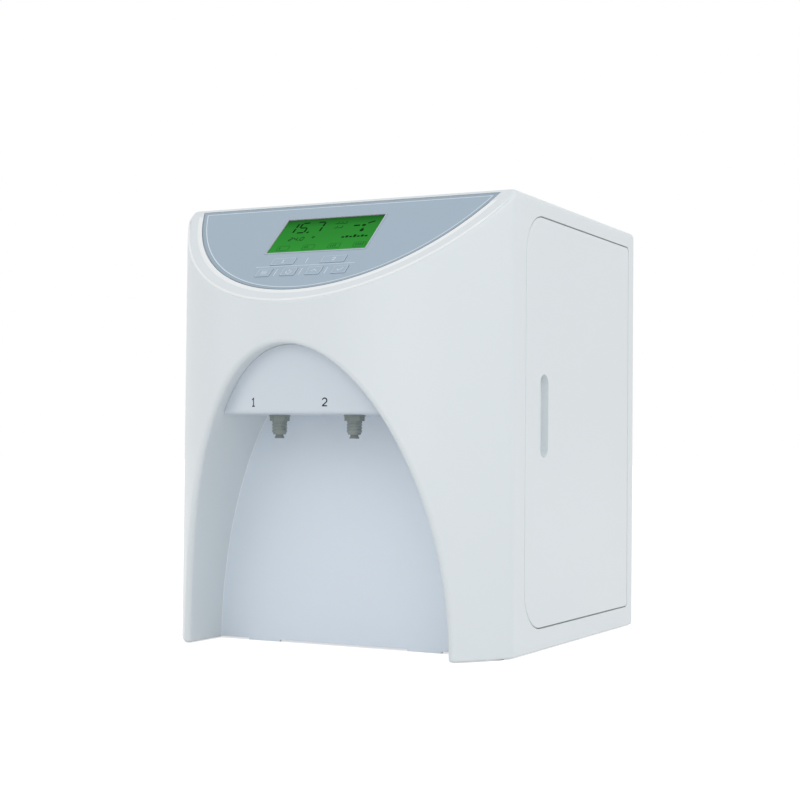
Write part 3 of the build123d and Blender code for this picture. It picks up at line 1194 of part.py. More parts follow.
# Power supply on the partition, with a slotted case
with BuildPart() as power_supply:
    supply_low = at(-bracket_in - SUPPLY_T, SUPPLY_FRONT, SUPPLY_LOW)
    block(supply_low, at(-bracket_in, SUPPLY_REAR, SUPPLY_HIGH))
    slot_span = SUPPLY_SLOT_PITCH * (SUPPLY_SLOTS - 1)
    first_slot = (SUPPLY_LOW + SUPPLY_HIGH - slot_span) / 2
    for i in range(SUPPLY_SLOTS):
        z = first_slot + i * SUPPLY_SLOT_PITCH
        slot_low = at(-bracket_in - SUPPLY_T, SUPPLY_FRONT + CRADLE_INSET, z)
        slot_high_at = at(-bracket_in - SUPPLY_T + PAN_T, SUPPLY_REAR - CRADLE_INSET, z + SUPPLY_SLOT_H)
        block(slot_low, slot_high_at, mode=Mode.SUBTRACT)
write(power_supply.part, "power_supply")

# Inlet valve on a foot behind the feed port, with its coil
with BuildPart() as inlet_valve:
    valve_low = at(FEED_X - VALVE_SIDE / 2, VALVE_FRONT, PORT_Z - VALVE_SIDE / 2)
    block(valve_low, at(FEED_X + VALVE_SIDE / 2, VALVE_FRONT + VALVE_L, PORT_Z + VALVE_SIDE / 2))
    valve_mid = VALVE_FRONT + VALVE_L / 2
    foot_low = at(FEED_X - VALVE_FOOT / 2, valve_mid - VALVE_FOOT / 2, PAN_TOP)
    block(foot_low, at(FEED_X + VALVE_FOOT / 2, valve_mid + VALVE_FOOT / 2, PORT_Z - VALVE_SIDE / 2))
    discs(Plane(at(FEED_X, valve_mid, PORT_Z + VALVE_SIDE / 2)), [(0, COIL_H, COIL_R)])
    for side in SIDES:
        stub(seat_at(at(FEED_X, valve_mid, PORT_Z), (0, side, 0)), VALVE_L / 2 + HEAD_STUB)
write(inlet_valve.part, "inlet_valve")

# Fittings in the lines: a tee to the tank port, a tee behind the polishers and the flow restrictor
tees = [((TANK_X, TEE_Y, PORT_Z), ((0, 1, 0), (0, -1, 0), (0, 0, 1)))]
tees += [((-BAY_X, REAR_RUN, polisher_port_z), ((0, 0, 1), (0, -1, 0), (0, 0, -1)))]
with BuildPart() as line_fittings:
    for place, ways in tees:
        for way in ways:
            stub(seat_at(at(*place), way), TEE_ARM)
    restrictor = Plane(at(DRAIN_X, RESTRICTOR_Y, RESTRICTOR_LOW))
    discs(restrictor, [(0, RESTRICTOR_L, RESTRICTOR_R)])
    ends = [(0, STUB_BORE, STUB_BORE_R), (RESTRICTOR_L - STUB_BORE, RESTRICTOR_L, STUB_BORE_R)]
    discs(restrictor, ends, mode=Mode.SUBTRACT)
write(line_fittings.part, "line_fittings")

# Places where the tubes end, a little short of the bottom of each bore
port_end = REAR_FACE_Y - CONSOLE_Y - REAR_T - LOCKNUT_H - THREAD_SPARE - STUB_L + TUBE_IN
head_end = HEAD_BLOCK_R + HEAD_STUB - TUBE_IN
valve_end = VALVE_L / 2 + HEAD_STUB - TUBE_IN
tee_end = TEE_ARM - TUBE_IN
pump_end = PUMP_HEAD_W / 2 + HEAD_STUB - TUBE_IN
membrane_in = MEMBRANE_FRONT - HEAD_STUB + TUBE_IN
membrane_out = MEMBRANE_REAR + HEAD_STUB - TUBE_IN
prefilter_port_z = PREFILTER_HIGH + HEAD_GAP + HEAD_PORT_RISE
outlet_end = HOOD_BOTTOM + HOOD_WALL + LOCKNUT_H + THREAD_SPARE + STUB_L - TUBE_IN
last_prefilter_y = prefilter_ys[-1]
last_polisher_y = polisher_ys[-1]

feed_routes = [
    [(FEED_X, port_end, PORT_Z), (FEED_X, valve_mid + valve_end, PORT_Z)],
    [
        (FEED_X, valve_mid - valve_end, PORT_Z),
        (FEED_X, FRONT_RUN, PORT_Z),
        (BAY_X, FRONT_RUN, PORT_Z),
        (BAY_X, FRONT_RUN, prefilter_port_z),
        (BAY_X, FIRST_Y - head_end, prefilter_port_z),
    ],
    [
        (BAY_X, last_prefilter_y + head_end, prefilter_port_z),
        (BAY_X, TEE_Y, prefilter_port_z),
        (BAY_X, TEE_Y, SUCTION_Z),
        (SUCTION_X, TEE_Y, SUCTION_Z),
        (SUCTION_X, FIRST_Y, SUCTION_Z),
        (SUCTION_X, FIRST_Y, pump_port_z),
        (PUMP_X + pump_end, FIRST_Y, pump_port_z),
    ],
    [
        (PUMP_X - pump_end, FIRST_Y, pump_port_z),
        (PRESSURE_X, FIRST_Y, pump_port_z),
        (PRESSURE_X, FRONT_RUN, pump_port_z),
        (PRESSURE_X, FRONT_RUN, MEMBRANE_Z),
        (MEMBRANE_X, FRONT_RUN, MEMBRANE_Z),
        (MEMBRANE_X, membrane_in, MEMBRANE_Z),
    ],
]
for i in range(PREFILTERS - 1):
    start = FIRST_Y + i * PITCH + head_end
    end = start + PITCH - 2 * head_end
    feed_routes += [[(BAY_X, start, prefilter_port_z), (BAY_X, end, prefilter_port_z)]]

product_x = MEMBRANE_X + MEMBRANE_STUB_X
product_routes = [
    [
        (product_x, membrane_out, MEMBRANE_Z),
        (product_x, REAR_RUN, MEMBRANE_Z),
        (product_x, REAR_RUN, polisher_port_z + tee_end),
    ],
    [
        (-BAY_X, REAR_RUN - tee_end, polisher_port_z),
        (-BAY_X, last_polisher_y + head_end, polisher_port_z),
    ],
    [
        (-BAY_X, FIRST_Y - head_end, polisher_port_z),
        (-BAY_X, FRONT_RUN, polisher_port_z),
        (-BAY_X, FRONT_RUN, PASS_Z),
        (-OUTLET_X, FRONT_RUN, PASS_Z),
        (-OUTLET_X, -OUTLET_BACK, PASS_Z),
        (-OUTLET_X, -OUTLET_BACK, outlet_end),
    ],
    [
        (-BAY_X, REAR_RUN, polisher_port_z - tee_end),
        (-BAY_X, REAR_RUN, cross_z),
        (TANK_X, TEE_Y, cross_z),
        (TANK_X, TEE_Y, PORT_Z + tee_end),
    ],
    [(TANK_X, TEE_Y + tee_end, PORT_Z), (TANK_X, port_end, PORT_Z)],
    [
        (TANK_X, TEE_Y - tee_end, PORT_Z),
        (TANK_X, FRONT_RUN, PORT_Z),
        (TANK_X, FRONT_RUN, PASS_Z),
        (TANK_X, -OUTLET_BACK, PASS_Z),
        (TANK_X, -OUTLET_BACK, outlet_end),
    ],
]
for i in range(POLISHERS - 1):
    start = FIRST_Y + i * PITCH + head_end
    end = start + PITCH - 2 * head_end
    product_routes += [[(-BAY_X, start, polisher_port_z), (-BAY_X, end, polisher_port_z)]]

reject_x = MEMBRANE_X - MEMBRANE_STUB_X
drain_routes = [
    [
        (reject_x, membrane_out, MEMBRANE_Z),
        (reject_x, REAR_RUN, MEMBRANE_Z),
        (reject_x, REAR_RUN, REJECT_TURN_Z),
        (DRAIN_X, RESTRICTOR_Y, REJECT_TURN_Z - REJECT_FALL),
        (DRAIN_X, RESTRICTOR_Y, RESTRICTOR_LOW + RESTRICTOR_L - TUBE_IN),
    ],
    [
        (DRAIN_X, RESTRICTOR_Y, RESTRICTOR_LOW + TUBE_IN),
        (DRAIN_X, RESTRICTOR_Y, PORT_Z),
        (DRAIN_X, port_end, PORT_Z),
    ],
]

supply_x = -bracket_in - SUPPLY_T / 2
board_end = (BOARD_CABLE_END[0], BOARD_CABLE_END[1], HEIGHT + BOARD_CABLE_END[2])
wiring_routes = [
    [
        (supply_x, SUPPLY_REAR, SUPPLY_HIGH - CABLE_TURN),
        (supply_x, SUPPLY_REAR + CABLE_TURN, SUPPLY_HIGH - CABLE_TURN),
        (supply_x, SUPPLY_REAR + CABLE_TURN, CABLE_Z),
        (supply_x, 0, CABLE_Z),
        board_end,
    ],
    [
        (supply_x, SUPPLY_REAR, SUPPLY_LOW + CABLE_TURN),
        (supply_x, SUPPLY_REAR + CABLE_OUT, SUPPLY_LOW + CABLE_TURN),
        (INLET_X, SUPPLY_REAR + CABLE_OUT, SUPPLY_LOW + CABLE_TURN),
        (INLET_X, SUPPLY_REAR + CABLE_OUT, rocker_z),
        (INLET_X, inlet_front - CONSOLE_Y, rocker_z),
    ],
    [
        (supply_x, SUPPLY_FRONT + CABLE_TURN, SUPPLY_LOW),
        (supply_x, SUPPLY_FRONT + CABLE_TURN, SUPPLY_LOW - CABLE_TURN),
        (supply_x, box_y + MOTOR_BOX[1] / 2, MOTOR_CABLE_Z),
        (PUMP_X + MOTOR_BOX[0] / 2, box_y + MOTOR_BOX[1] / 2, MOTOR_CABLE_Z),
    ],
]

lines = [("feed_tubes", feed_routes), ("product_tubes", product_routes), ("drain_tubes", drain_routes)]
for name, routes in lines:
    with BuildPart() as tubes:
        for route in routes:
            add(tube([at(*point) for point in route], BEND, TUBE_R))
    write(tubes.part, name)

with BuildPart() as wiring:
    for route in wiring_routes:
        add(tube([at(*point) for point in route], CABLE_BEND, CABLE_R))
write(wiring.part, "wiring")

# Screws: large ones for the feet and the rear panel, small ones for everything else
with BuildPart() as cabinet_screws:
    for seat in foot_seats:
        screw(seat, PAN_TOP - FOOT_SINK + SCREW_BITE)
    for seat in rear_seats + pan_seats:
        screw(seat, SMALL_BITE)
write(cabinet_screws.part, "cabinet_screws")

with BuildPart() as small_screws:
    for seat in cover_seats:
        screw(seat, SMALL_BITE, large=False)
    for seat in niche_seats + hood_seats:
        screw(seat, NICHE_T + SMALL_BITE, large=False)
    for seat in board_seats:
        screw(seat, BOARD_T + SMALL_BITE, large=False)
    for seat in flange_seats + cradle_seats:
        screw(seat, SHEET_BITE, large=False)
    for seat in inlet_seats:
        screw(seat, SMALL_BITE, large=False)
write(small_screws.part, "small_screws")
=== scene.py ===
"""A benchtop reverse osmosis water purifier, dressed over its solid model. All sizes are in millimetres."""

import logging
import math
from dataclasses import dataclass, field
from enum import Enum

import bmesh
import bpy
from mathutils import Matrix, Vector


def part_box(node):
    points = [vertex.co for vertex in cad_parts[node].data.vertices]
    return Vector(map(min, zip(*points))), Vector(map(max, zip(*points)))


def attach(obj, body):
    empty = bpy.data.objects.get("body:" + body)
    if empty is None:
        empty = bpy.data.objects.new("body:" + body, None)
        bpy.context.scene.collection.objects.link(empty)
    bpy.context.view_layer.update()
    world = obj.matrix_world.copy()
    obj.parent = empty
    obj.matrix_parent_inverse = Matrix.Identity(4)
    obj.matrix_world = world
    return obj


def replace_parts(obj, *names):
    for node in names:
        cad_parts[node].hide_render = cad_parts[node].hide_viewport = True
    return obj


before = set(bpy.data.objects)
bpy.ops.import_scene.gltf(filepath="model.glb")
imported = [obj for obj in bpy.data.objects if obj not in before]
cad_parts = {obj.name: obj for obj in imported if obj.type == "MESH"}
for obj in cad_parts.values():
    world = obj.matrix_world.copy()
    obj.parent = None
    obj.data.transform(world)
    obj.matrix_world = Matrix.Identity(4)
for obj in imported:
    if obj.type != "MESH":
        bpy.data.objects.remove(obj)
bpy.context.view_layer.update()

log = logging.getLogger("purifier")
MM = 0.001
Colour = tuple[float, float, float]
Point = tuple[float, float, float]
Flat = tuple[float, float]
Tree = bpy.types.NodeTree
Node = bpy.types.Node
Socket = bpy.types.NodeSocket
Material = bpy.types.Material

TINY = 1e-6
UP, DOWN, BACK = (0, 0, 1), (0, 0, -1), (0, 1, 0)


class Body(Enum):
    """The bodies that several visual pieces ride on."""

    CABINET = "cabinet"
    ROCKER = "switch_rocker"


class Slot(Enum):
    """The record's material slots that the visual pieces name."""

    SHELL = "shell"
    CONSOLE = "console"
    NICHE = "niche"
    SHEET = "sheet"
    BLACK = "black"
    STEEL = "steel"
    FITTING = "fitting"
    COLLET = "collet"
    LCD = "lcd"
    CARTRIDGE = "cartridge"
    MOTOR = "motor"
    BOARD = "board"


# ---- Shader nodes


def add_node(tree: Tree, kind: str, values: dict | None = None, **settings: object) -> Node:
    """Adds a node to a tree and sets or links its inputs.

    Args:
        tree: The node tree.
        kind: The node's type name.
        values: Input name or index to a value, or to an output socket that feeds it.
        settings: Properties of the node.

    Returns:
        The new node.
    """
    made = tree.nodes.new(kind)
    for label, value in settings.items():
        setattr(made, label, value)
    for label, value in (values or {}).items():
        if isinstance(value, Socket):
            tree.links.new(value, made.inputs[label])
        else:
            made.inputs[label].default_value = value
    return made


def combine(tree: Tree, operation: str, first: object, second: object) -> Socket:
    """Adds a Math node on two values or sockets and gives its result."""
    return add_node(tree, "ShaderNodeMath", {0: first, 1: second}, operation=operation).outputs[0]


def mix_colours(tree: Tree, share: object, first: object, second: object, blend: str = "MIX") -> Socket:
    """Adds a colour Mix node and gives its result."""
    values = {"Factor": share, 6: first, 7: second}
    return add_node(tree, "ShaderNodeMix", values, data_type="RGBA", blend_type=blend).outputs[2]


def remap(tree: Tree, value: object, start: float, end: float, low: float = 0.0, high: float = 1.0) -> Socket:
    """Adds a Map Range node from start and end to low and high, and gives its result."""
    values = {"Value": value, "From Min": start, "From Max": end, "To Min": low, "To Max": high}
    return add_node(tree, "ShaderNodeMapRange", values).outputs[0]


def noise(tree: Tree, place: Socket, scale: object, detail: float, roughness: float = 0.5) -> Socket:
    """Adds a Noise Texture node and gives its value."""
    values = {"Vector": place, "Scale": scale, "Detail": detail, "Roughness": roughness}
    return add_node(tree, "ShaderNodeTexNoise", values).outputs["Fac"]


def ray_mask(tree: Tree, *kinds: str) -> Socket:
    """Gives a value that is 1 for some kinds of ray.

    Args:
        tree: The node tree.
        kinds: Names of the ray kinds.

    Returns:
        The mask's socket.
    """
    path = add_node(tree, "ShaderNodeLightPath")
    mask = path.outputs[kinds[0]]
    for kind in kinds[1:]:
        mask = combine(tree, "MAXIMUM", mask, path.outputs[kind])
    return mask


def new_material(name: str) -> tuple[Material, Tree, Node]:
    """Makes a node material.

    Args:
        name: The material's name.

    Returns:
        The material, its node tree and its surface shader.
    """
    material = bpy.data.materials.new(name)
    material.use_nodes = True
    tree = material.node_tree
    return material, tree, tree.nodes["Principled BSDF"]


# ---- Effects shared by the materials


class Effect:
    """A shader node group with named sockets, built once and placed in many materials."""

    def __init__(self, name: str, inputs: dict[str, tuple[str, object]], outputs: dict[str, str]) -> None:
        """Makes the empty group.

        Args:
            name: The group's name.
            inputs: Socket name to its kind and default value.
            outputs: Socket name to its kind.
        """
        self.tree = bpy.data.node_groups.new(name, "ShaderNodeTree")
        sockets = self.tree.interface
        for label, (kind, value) in inputs.items():
            socket = sockets.new_socket(name=label, in_out="INPUT", socket_type=f"NodeSocket{kind}")
            if value is not None:
                socket.default_value = value
        for label, kind in outputs.items():
            sockets.new_socket(name=label, in_out="OUTPUT", socket_type=f"NodeSocket{kind}")
        self.source = self.tree.nodes.new("NodeGroupInput")
        self.result = self.tree.nodes.new("NodeGroupOutput")

    def given(self, label: str) -> Socket:
        """Gives the socket that brings one of the group's inputs."""
        return self.source.outputs[label]

    def give(self, label: str, value: Socket) -> None:
        """Feeds one of the group's outputs."""
        self.tree.links.new(value, self.result.inputs[label])


def build_tone_drift() -> Tree:
    """Builds the slow change of tone that a large moulding or sheet shows.

    Returns:
        The node group.
    """
    inputs = {
        "Vector": ("Vector", None),
        "Colour": ("Color", (0.8, 0.8, 0.8, 1)),
        "Shade": ("Color", (0.7, 0.7, 0.7, 1)),
        "Scale": ("Float", 4.0),
        "Amount": ("Float", 0.3),
    }
    effect = Effect("tone_drift", inputs, {"Colour": "Color"})
    slow = noise(effect.tree, effect.given("Vector"), effect.given("Scale"), 3.0)
    share = combine(effect.tree, "MULTIPLY", remap(effect.tree, slow, 0.3, 0.7), effect.given("Amount"))
    effect.give("Colour", mix_colours(effect.tree, share, effect.given("Colour"), effect.given("Shade")))
    return effect.tree


def build_mould_grain() -> Tree:
    """Builds the fine grain of a moulded or coated surface, with the roughness that goes with it.

    Returns:
        The node group.
    """
    inputs = {
        "Vector": ("Vector", None),
        "Scale": ("Float", 900.0),
        "Patch Scale": ("Float", 14.0),
        "Roughness": ("Float", 0.35),
        "Spread": ("Float", 0.08),
    }
    effect = Effect("mould_grain", inputs, {"Height": "Float", "Roughness": "Float"})
    effect.give("Height", noise(effect.tree, effect.given("Vector"), effect.given("Scale"), 4.0))
    broad = noise(effect.tree, effect.given("Vector"), effect.given("Patch Scale"), 1.0)
    around = combine(effect.tree, "SUBTRACT", broad, 0.5)
    swing = combine(effect.tree, "MULTIPLY", around, effect.given("Spread"))
    effect.give("Roughness", combine(effect.tree, "ADD", effect.given("Roughness"), swing))
    return effect.tree


def build_settled_dust() -> Tree:
    """Builds a thin veil of dust on faces that look up, broken by noise.

    Returns:
        The node group.
    """
    inputs = {
        "Vector": ("Vector", None),
        "Normal": ("Vector", None),
        "Colour": ("Color", (0.8, 0.8, 0.8, 1)),
        "Dust": ("Color", (0.72, 0.71, 0.69, 1)),
        "Amount": ("Float", 0.1),
    }
    effect = Effect("settled_dust", inputs, {"Colour": "Color"})
    parts = add_node(effect.tree, "ShaderNodeSeparateXYZ", {0: effect.given("Normal")})
    upward = remap(effect.tree, parts.outputs["Z"], 0.75, 1.0)
    patch = remap(effect.tree, noise(effect.tree, effect.given("Vector"), 60.0, 6.0), 0.42, 0.7)
    veil = combine(effect.tree, "MULTIPLY", upward, patch)
    share = combine(effect.tree, "MULTIPLY", veil, effect.given("Amount"))
    effect.give("Colour", mix_colours(effect.tree, share, effect.given("Colour"), effect.given("Dust")))
    return effect.tree


def build_fine_scuffs() -> Tree:
    """Builds sparse hair-thin scuffs as a mask, drawn out along one direction.

    Returns:
        The node group.
    """
    inputs = {
        "Vector": ("Vector", None),
        "Stretch": ("Vector", (60.0, 60.0, 900.0)),
        "Cover": ("Float", 0.3),
    }
    effect = Effect("fine_scuffs", inputs, {"Mask": "Float"})
    both = {0: effect.given("Vector"), 1: effect.given("Stretch")}
    drawn = add_node(effect.tree, "ShaderNodeVectorMath", both, operation="MULTIPLY")
    sharp = remap(effect.tree, noise(effect.tree, drawn.outputs[0], 1.0, 5.0, 0.7), 0.62, 0.74)
    effect.give("Mask", combine(effect.tree, "MULTIPLY", sharp, effect.given("Cover")))
    return effect.tree


@dataclass
class Effects:
    """The shared node groups, each built once.

    Attributes:
        drift: Slow change of tone.
        grain: Fine grain and the roughness that goes with it.
        dust: Dust on upward faces.
        scuffs: Hair-thin scuffs.
    """

    drift: Tree = field(default_factory=build_tone_drift)
    grain: Tree = field(default_factory=build_mould_grain)
    dust: Tree = field(default_factory=build_settled_dust)
    scuffs: Tree = field(default_factory=build_fine_scuffs)


EFFECTS = Effects()


# ---- Finishes


@dataclass(frozen=True)
class Finish:
    """A solid finish: moulded plastic, coated sheet, rubber or metal.

    Attributes:
        name: The material's name.
        colour: Base colour, linear.
        roughness: Mean roughness.
        metallic: 1 for bare metal.
        shade: How much darker the tone drifts to.
        drift: How far the tone drifts, 0 to 1.
        drift_scale: Size of the drift's patches, larger is smaller patches.
        grain_scale: Fineness of the grain.
        bump: Depth of the grain.
        spread: How far the roughness swings.
        dust: How much dust lies on upward faces.
        scuff: How strongly scuffs show in the roughness.
        stretch: Directions of the scuffs.
        coat: Clear coat weight.
        gloss: Level of the plain reflection, 0.5 for plastic and 0 for dull print.
        grain_depth: Height of a full grain, in metres.
        coat_roughness: Roughness of the clear coat.
    """

    name: str
    colour: Colour
    roughness: float = 0.4
    metallic: float = 0.0
    shade: float = 0.94
    drift: float = 0.5
    drift_scale: float = 5.0
    grain_scale: float = 900.0
    bump: float = 0.05
    spread: float = 0.08
    dust: float = 0.12
    scuff: float = 0.15
    stretch: Point = (60.0, 60.0, 900.0)
    coat: float = 0.0
    gloss: float = 0.5
    grain_depth: float = 0.0004
    coat_roughness: float = 0.15

    def shaded(self) -> tuple[float, float, float, float]:
        """Gives the tone that the colour drifts to, with an alpha of one."""
        return (*(min(1.0, channel * self.shade) for channel in self.colour), 1.0)

    def effects(self, tree: Tree) -> tuple[Socket, Socket, Socket]:
        """Places the shared effects in the material.

        Args:
            tree: The material's node tree.

        Returns:
            The colour, the grain's height and the roughness.
        """
        place = add_node(tree, "ShaderNodeTexCoord").outputs["Object"]
        normal = add_node(tree, "ShaderNodeNewGeometry").outputs["Normal"]
        values = {"Colour": (*self.colour, 1), "Shade": self.shaded(), "Scale": self.drift_scale}
        values |= {"Vector": place, "Amount": self.drift}
        drift = add_node(tree, "ShaderNodeGroup", values, node_tree=EFFECTS.drift)
        values = {"Vector": place, "Normal": normal, "Colour": drift.outputs["Colour"], "Amount": self.dust}
        dust = add_node(tree, "ShaderNodeGroup", values, node_tree=EFFECTS.dust)
        values = {"Scale": self.grain_scale, "Roughness": self.roughness, "Spread": self.spread}
        values |= {"Vector": place}
        grain = add_node(tree, "ShaderNodeGroup", values, node_tree=EFFECTS.grain)
        values = {"Vector": place, "Stretch": self.stretch, "Cover": self.scuff}
        scuffs = add_node(tree, "ShaderNodeGroup", values, node_tree=EFFECTS.scuffs)
        values = {0: grain.outputs["Roughness"], 1: scuffs.outputs["Mask"]}
        worn = add_node(tree, "ShaderNodeMath", values, operation="ADD", use_clamp=True)
        return dust.outputs["Colour"], grain.outputs["Height"], worn.outputs[0]

    def build(self) -> Material:
        """Builds the material with its grain, tone, dust and scuffs.

        Returns:
            The material.
        """
        if self.name in bpy.data.materials:
            return bpy.data.materials[self.name]
        material, tree, shader = new_material(self.name)
        colour, height, roughness = self.effects(tree)
        relief = {"Strength": self.bump, "Distance": self.grain_depth, "Height": height}
        bump = add_node(tree, "ShaderNodeBump", relief)
        tree.links.new(colour, shader.inputs["Base Color"])
        tree.links.new(roughness, shader.inputs["Roughness"])
        tree.links.new(bump.outputs[0], shader.inputs["Normal"])
        shader.inputs["Metallic"].default_value = self.metallic
        shader.inputs["Coat Weight"].default_value = self.coat
        shader.inputs["Coat Roughness"].default_value = self.coat_roughness
        shader.inputs["Specular IOR Level"].default_value = self.gloss
        return material


@dataclass(frozen=True)
class Glass:
    """Clear pane over the display.

    Attributes:
        name: The material's name.
        colour: Tint of the pane.
        roughness: How hazy it is.
        scuff: How strongly scuffs show in the haze.
        bend: Index of refraction, low so that the figures stay in place.
        cover: How much of what lies behind it the pane hides.
    """

    name: str
    colour: Colour
    roughness: float = 0.02
    scuff: float = 0.05
    bend: float = 1.1
    cover: float = 0.25

    def build(self) -> Material:
        """Builds the pane: see-through with a gloss that rises at a glancing angle.

        Returns:
            The material.
        """
        if self.name in bpy.data.materials:
            return bpy.data.materials[self.name]
        material, tree, shader = new_material(self.name)
        values = {"Vector": add_node(tree, "ShaderNodeTexCoord").outputs["Object"], "Cover": self.scuff}
        scuffs = add_node(tree, "ShaderNodeGroup", values, node_tree=EFFECTS.scuffs)
        haze = combine(tree, "ADD", scuffs.outputs["Mask"], self.roughness)
        tree.links.new(haze, shader.inputs["Roughness"])
        shader.inputs["Base Color"].default_value = (*self.colour, 1)
        shader.inputs["Transmission Weight"].default_value = 1.0
        shader.inputs["IOR"].default_value = self.bend
        shader.inputs["Alpha"].default_value = self.cover
        material.surface_render_method = "BLENDED"
        return material


@dataclass(frozen=True)
class Backlight:
    """Lit face of the display, with a painted shadow of the rim that darkens it towards its upper edge.

    Attributes:
        name: The material's name.
        low: Colour at the lower edge.
        high: Colour near the upper edge, darkened by the painted shadow.
        edge: Colour of the painted shadow right under the upper edge.
        bottom: Height of the lower edge in metres.
        top: Height of the upper edge in metres.
        painted_shade_from: Share of the height from which the painted shadow of the rim sets in.
        cells: Fineness of the display's cells.
        speck: Least and greatest tone of a cell.
        glow: Strength of the light it gives.
    """

    name: str
    low: Colour
    high: Colour
    edge: Colour
    bottom: float
    top: float
    painted_shade_from: float = 0.72
    cells: float = 2200.0
    speck: Flat = (0.94, 1.02)
    glow: float = 0.6

    def build(self) -> Material:
        """Builds the lit face.

        Returns:
            The material.
        """
        if self.name in bpy.data.materials:
            return bpy.data.materials[self.name]
        material, tree, shader = new_material(self.name)
        place = add_node(tree, "ShaderNodeTexCoord").outputs["Object"]
        parts = add_node(tree, "ShaderNodeSeparateXYZ", {0: place})
        # The ramp darkens the colour towards the upper edge: a painted shadow of the rim.
        climb = remap(tree, parts.outputs["Z"], self.bottom, self.top)
        ramp = add_node(tree, "ShaderNodeValToRGB", {"Fac": climb})
        stops = ramp.color_ramp.elements
        stops[0].color, stops[1].color = (*self.low, 1), (*self.edge, 1)
        stops.new(self.painted_shade_from).color = (*self.high, 1)
        dots = add_node(tree, "ShaderNodeTexVoronoi", {"Vector": place, "Scale": self.cells})
        speck = remap(tree, dots.outputs["Distance"], 0.0, 1.0, *self.speck)
        lit = mix_colours(tree, 1.0, ramp.outputs["Color"], speck, "MULTIPLY")
        tree.links.new(lit, shader.inputs["Base Color"])
        tree.links.new(lit, shader.inputs["Emission Color"])
        shader.inputs["Emission Strength"].default_value = self.glow
        shader.inputs["Roughness"].default_value = 0.45
        shader.inputs["Specular IOR Level"].default_value = 0.0
        return material


Look = Finish | Glass | Backlight

# Mouldings outside
SHELL = Finish(
    "shell_gloss_white", (0.715, 0.765, 0.79), 0.38, shade=0.975, drift_scale=3.0, grain_scale=1400,
    bump=0.015, dust=0.05, scuff=0.05, coat=0.06,
)
# Lighter and glossier than the shell: a painted highlight on rounded edges and beads.
PAINTED_EDGE_HIGHLIGHT = Finish(
    "shell_edge_white", (0.84, 0.87, 0.885), 0.3, shade=0.98, drift_scale=6.0, grain_scale=1400,
    bump=0.01, dust=0.0, coat=0.3,
)
# Grey seal in the joint round each door; its grey also paints the shade in the joint.
SEAL_AND_JOINT_SHADE = Finish("door_seal_grey", (0.33, 0.385, 0.38), 0.5, shade=0.9, drift_scale=60.0, bump=0.03, dust=0.05)
HOOD = Finish(
    "hood_satin_grey", (0.63, 0.69, 0.755), 0.36, shade=0.97, grain_scale=1400, bump=0.03, scuff=0.06,
)
NICHE = Finish(
    "niche_satin_grey", (0.742, 0.815, 0.893), 0.36, shade=0.97, grain_scale=1400, bump=0.03, scuff=0.06,
)
RUBBER = Finish(
    "foot_rubber", (0.018, 0.018, 0.019), 0.75, shade=1.5, drift_scale=60.0, grain_scale=1500, bump=0.2,
    dust=0.3,
)
BLACK = Finish(
    "moulded_black", (0.022, 0.022, 0.024), 0.42, shade=1.4, drift_scale=40.0, grain_scale=2200, bump=0.12,
    dust=0.2,
)
FITTING = Finish(
    "fitting_grey", (0.27, 0.305, 0.295), 0.42, shade=0.85, drift_scale=60.0, grain_scale=3000, bump=0.08,
)
COLLET = Finish(
    "collet_dark_grey", (0.22, 0.25, 0.245), 0.38, shade=0.85, drift_scale=60.0, grain_scale=3000, bump=0.06,
)

# Console and display
FILM = Finish(
    "console_film_blue", (0.344, 0.439, 0.532), 0.34, shade=0.96, grain_scale=2600, bump=0.06, dust=0.02,
    scuff=0.04,
)
BORDER = Finish(
    "console_border_blue", (0.29, 0.385, 0.475), 0.34, shade=0.95, grain_scale=2600, bump=0.05, dust=0.02,
    scuff=0.04,
)
# Dark strip in the gap round the console panel: a painted shadow of the gap.
PAINTED_GAP_SHADOW = Finish(
    "console_seal_grey", (0.09, 0.10, 0.11), 0.6, shade=0.8, drift_scale=40.0, bump=0.04, dust=0.05,
)
RIM = Finish("display_rim_lilac", (0.50, 0.48, 0.59), 0.35, shade=0.9, drift_scale=60.0, bump=0.02, dust=0.0)
PRINT = Finish("pale_print", (0.66, 0.76, 0.82), 0.4, shade=0.9, drift_scale=90.0, bump=0.02, dust=0.0)
INK = Finish(
    "black_ink", (0.012, 0.013, 0.016), 0.5, shade=0.8, drift_scale=120.0, bump=0.02, dust=0.0, gloss=0.1,
)
SEGMENT = Finish(
    "display_segment", (0.006, 0.036, 0.010), 0.5, shade=0.7, drift_scale=200.0, bump=0.01, dust=0.0,
    gloss=0.0,
)
FAINT = Finish(
    "display_faint", (0.016, 0.13, 0.026), 0.5, shade=0.85, drift_scale=200.0, bump=0.01, dust=0.0, gloss=0.0,
)
PANE = Glass("display_pane", (0.96, 1.0, 0.97))

# Metals
SHEET = Finish(
    "powder_coat_grey", (0.62, 0.63, 0.64), 0.5, shade=0.93, grain_scale=1800, bump=0.16, dust=0.25,
)
STEEL = Finish(
    "zinc_steel", (0.56, 0.56, 0.55), 0.32, 1.0, shade=0.82, drift_scale=120.0, grain_scale=2500, bump=0.06,
    stretch=(900.0, 900.0, 60.0),
)
BRASS = Finish("contact_brass", (0.66, 0.52, 0.28), 0.28, 1.0, shade=0.85, drift_scale=150.0, bump=0.05)
CASE = Finish(
    "supply_case", (0.60, 0.61, 0.62), 0.36, 1.0, shade=0.88, drift_scale=20.0, bump=0.05,
    stretch=(60.0, 900.0, 900.0),
)
MAGNET = Finish(
    "magnet_ferrite", (0.05, 0.048, 0.046), 0.6, shade=1.3, drift_scale=80.0, grain_scale=2000, bump=0.2,
)

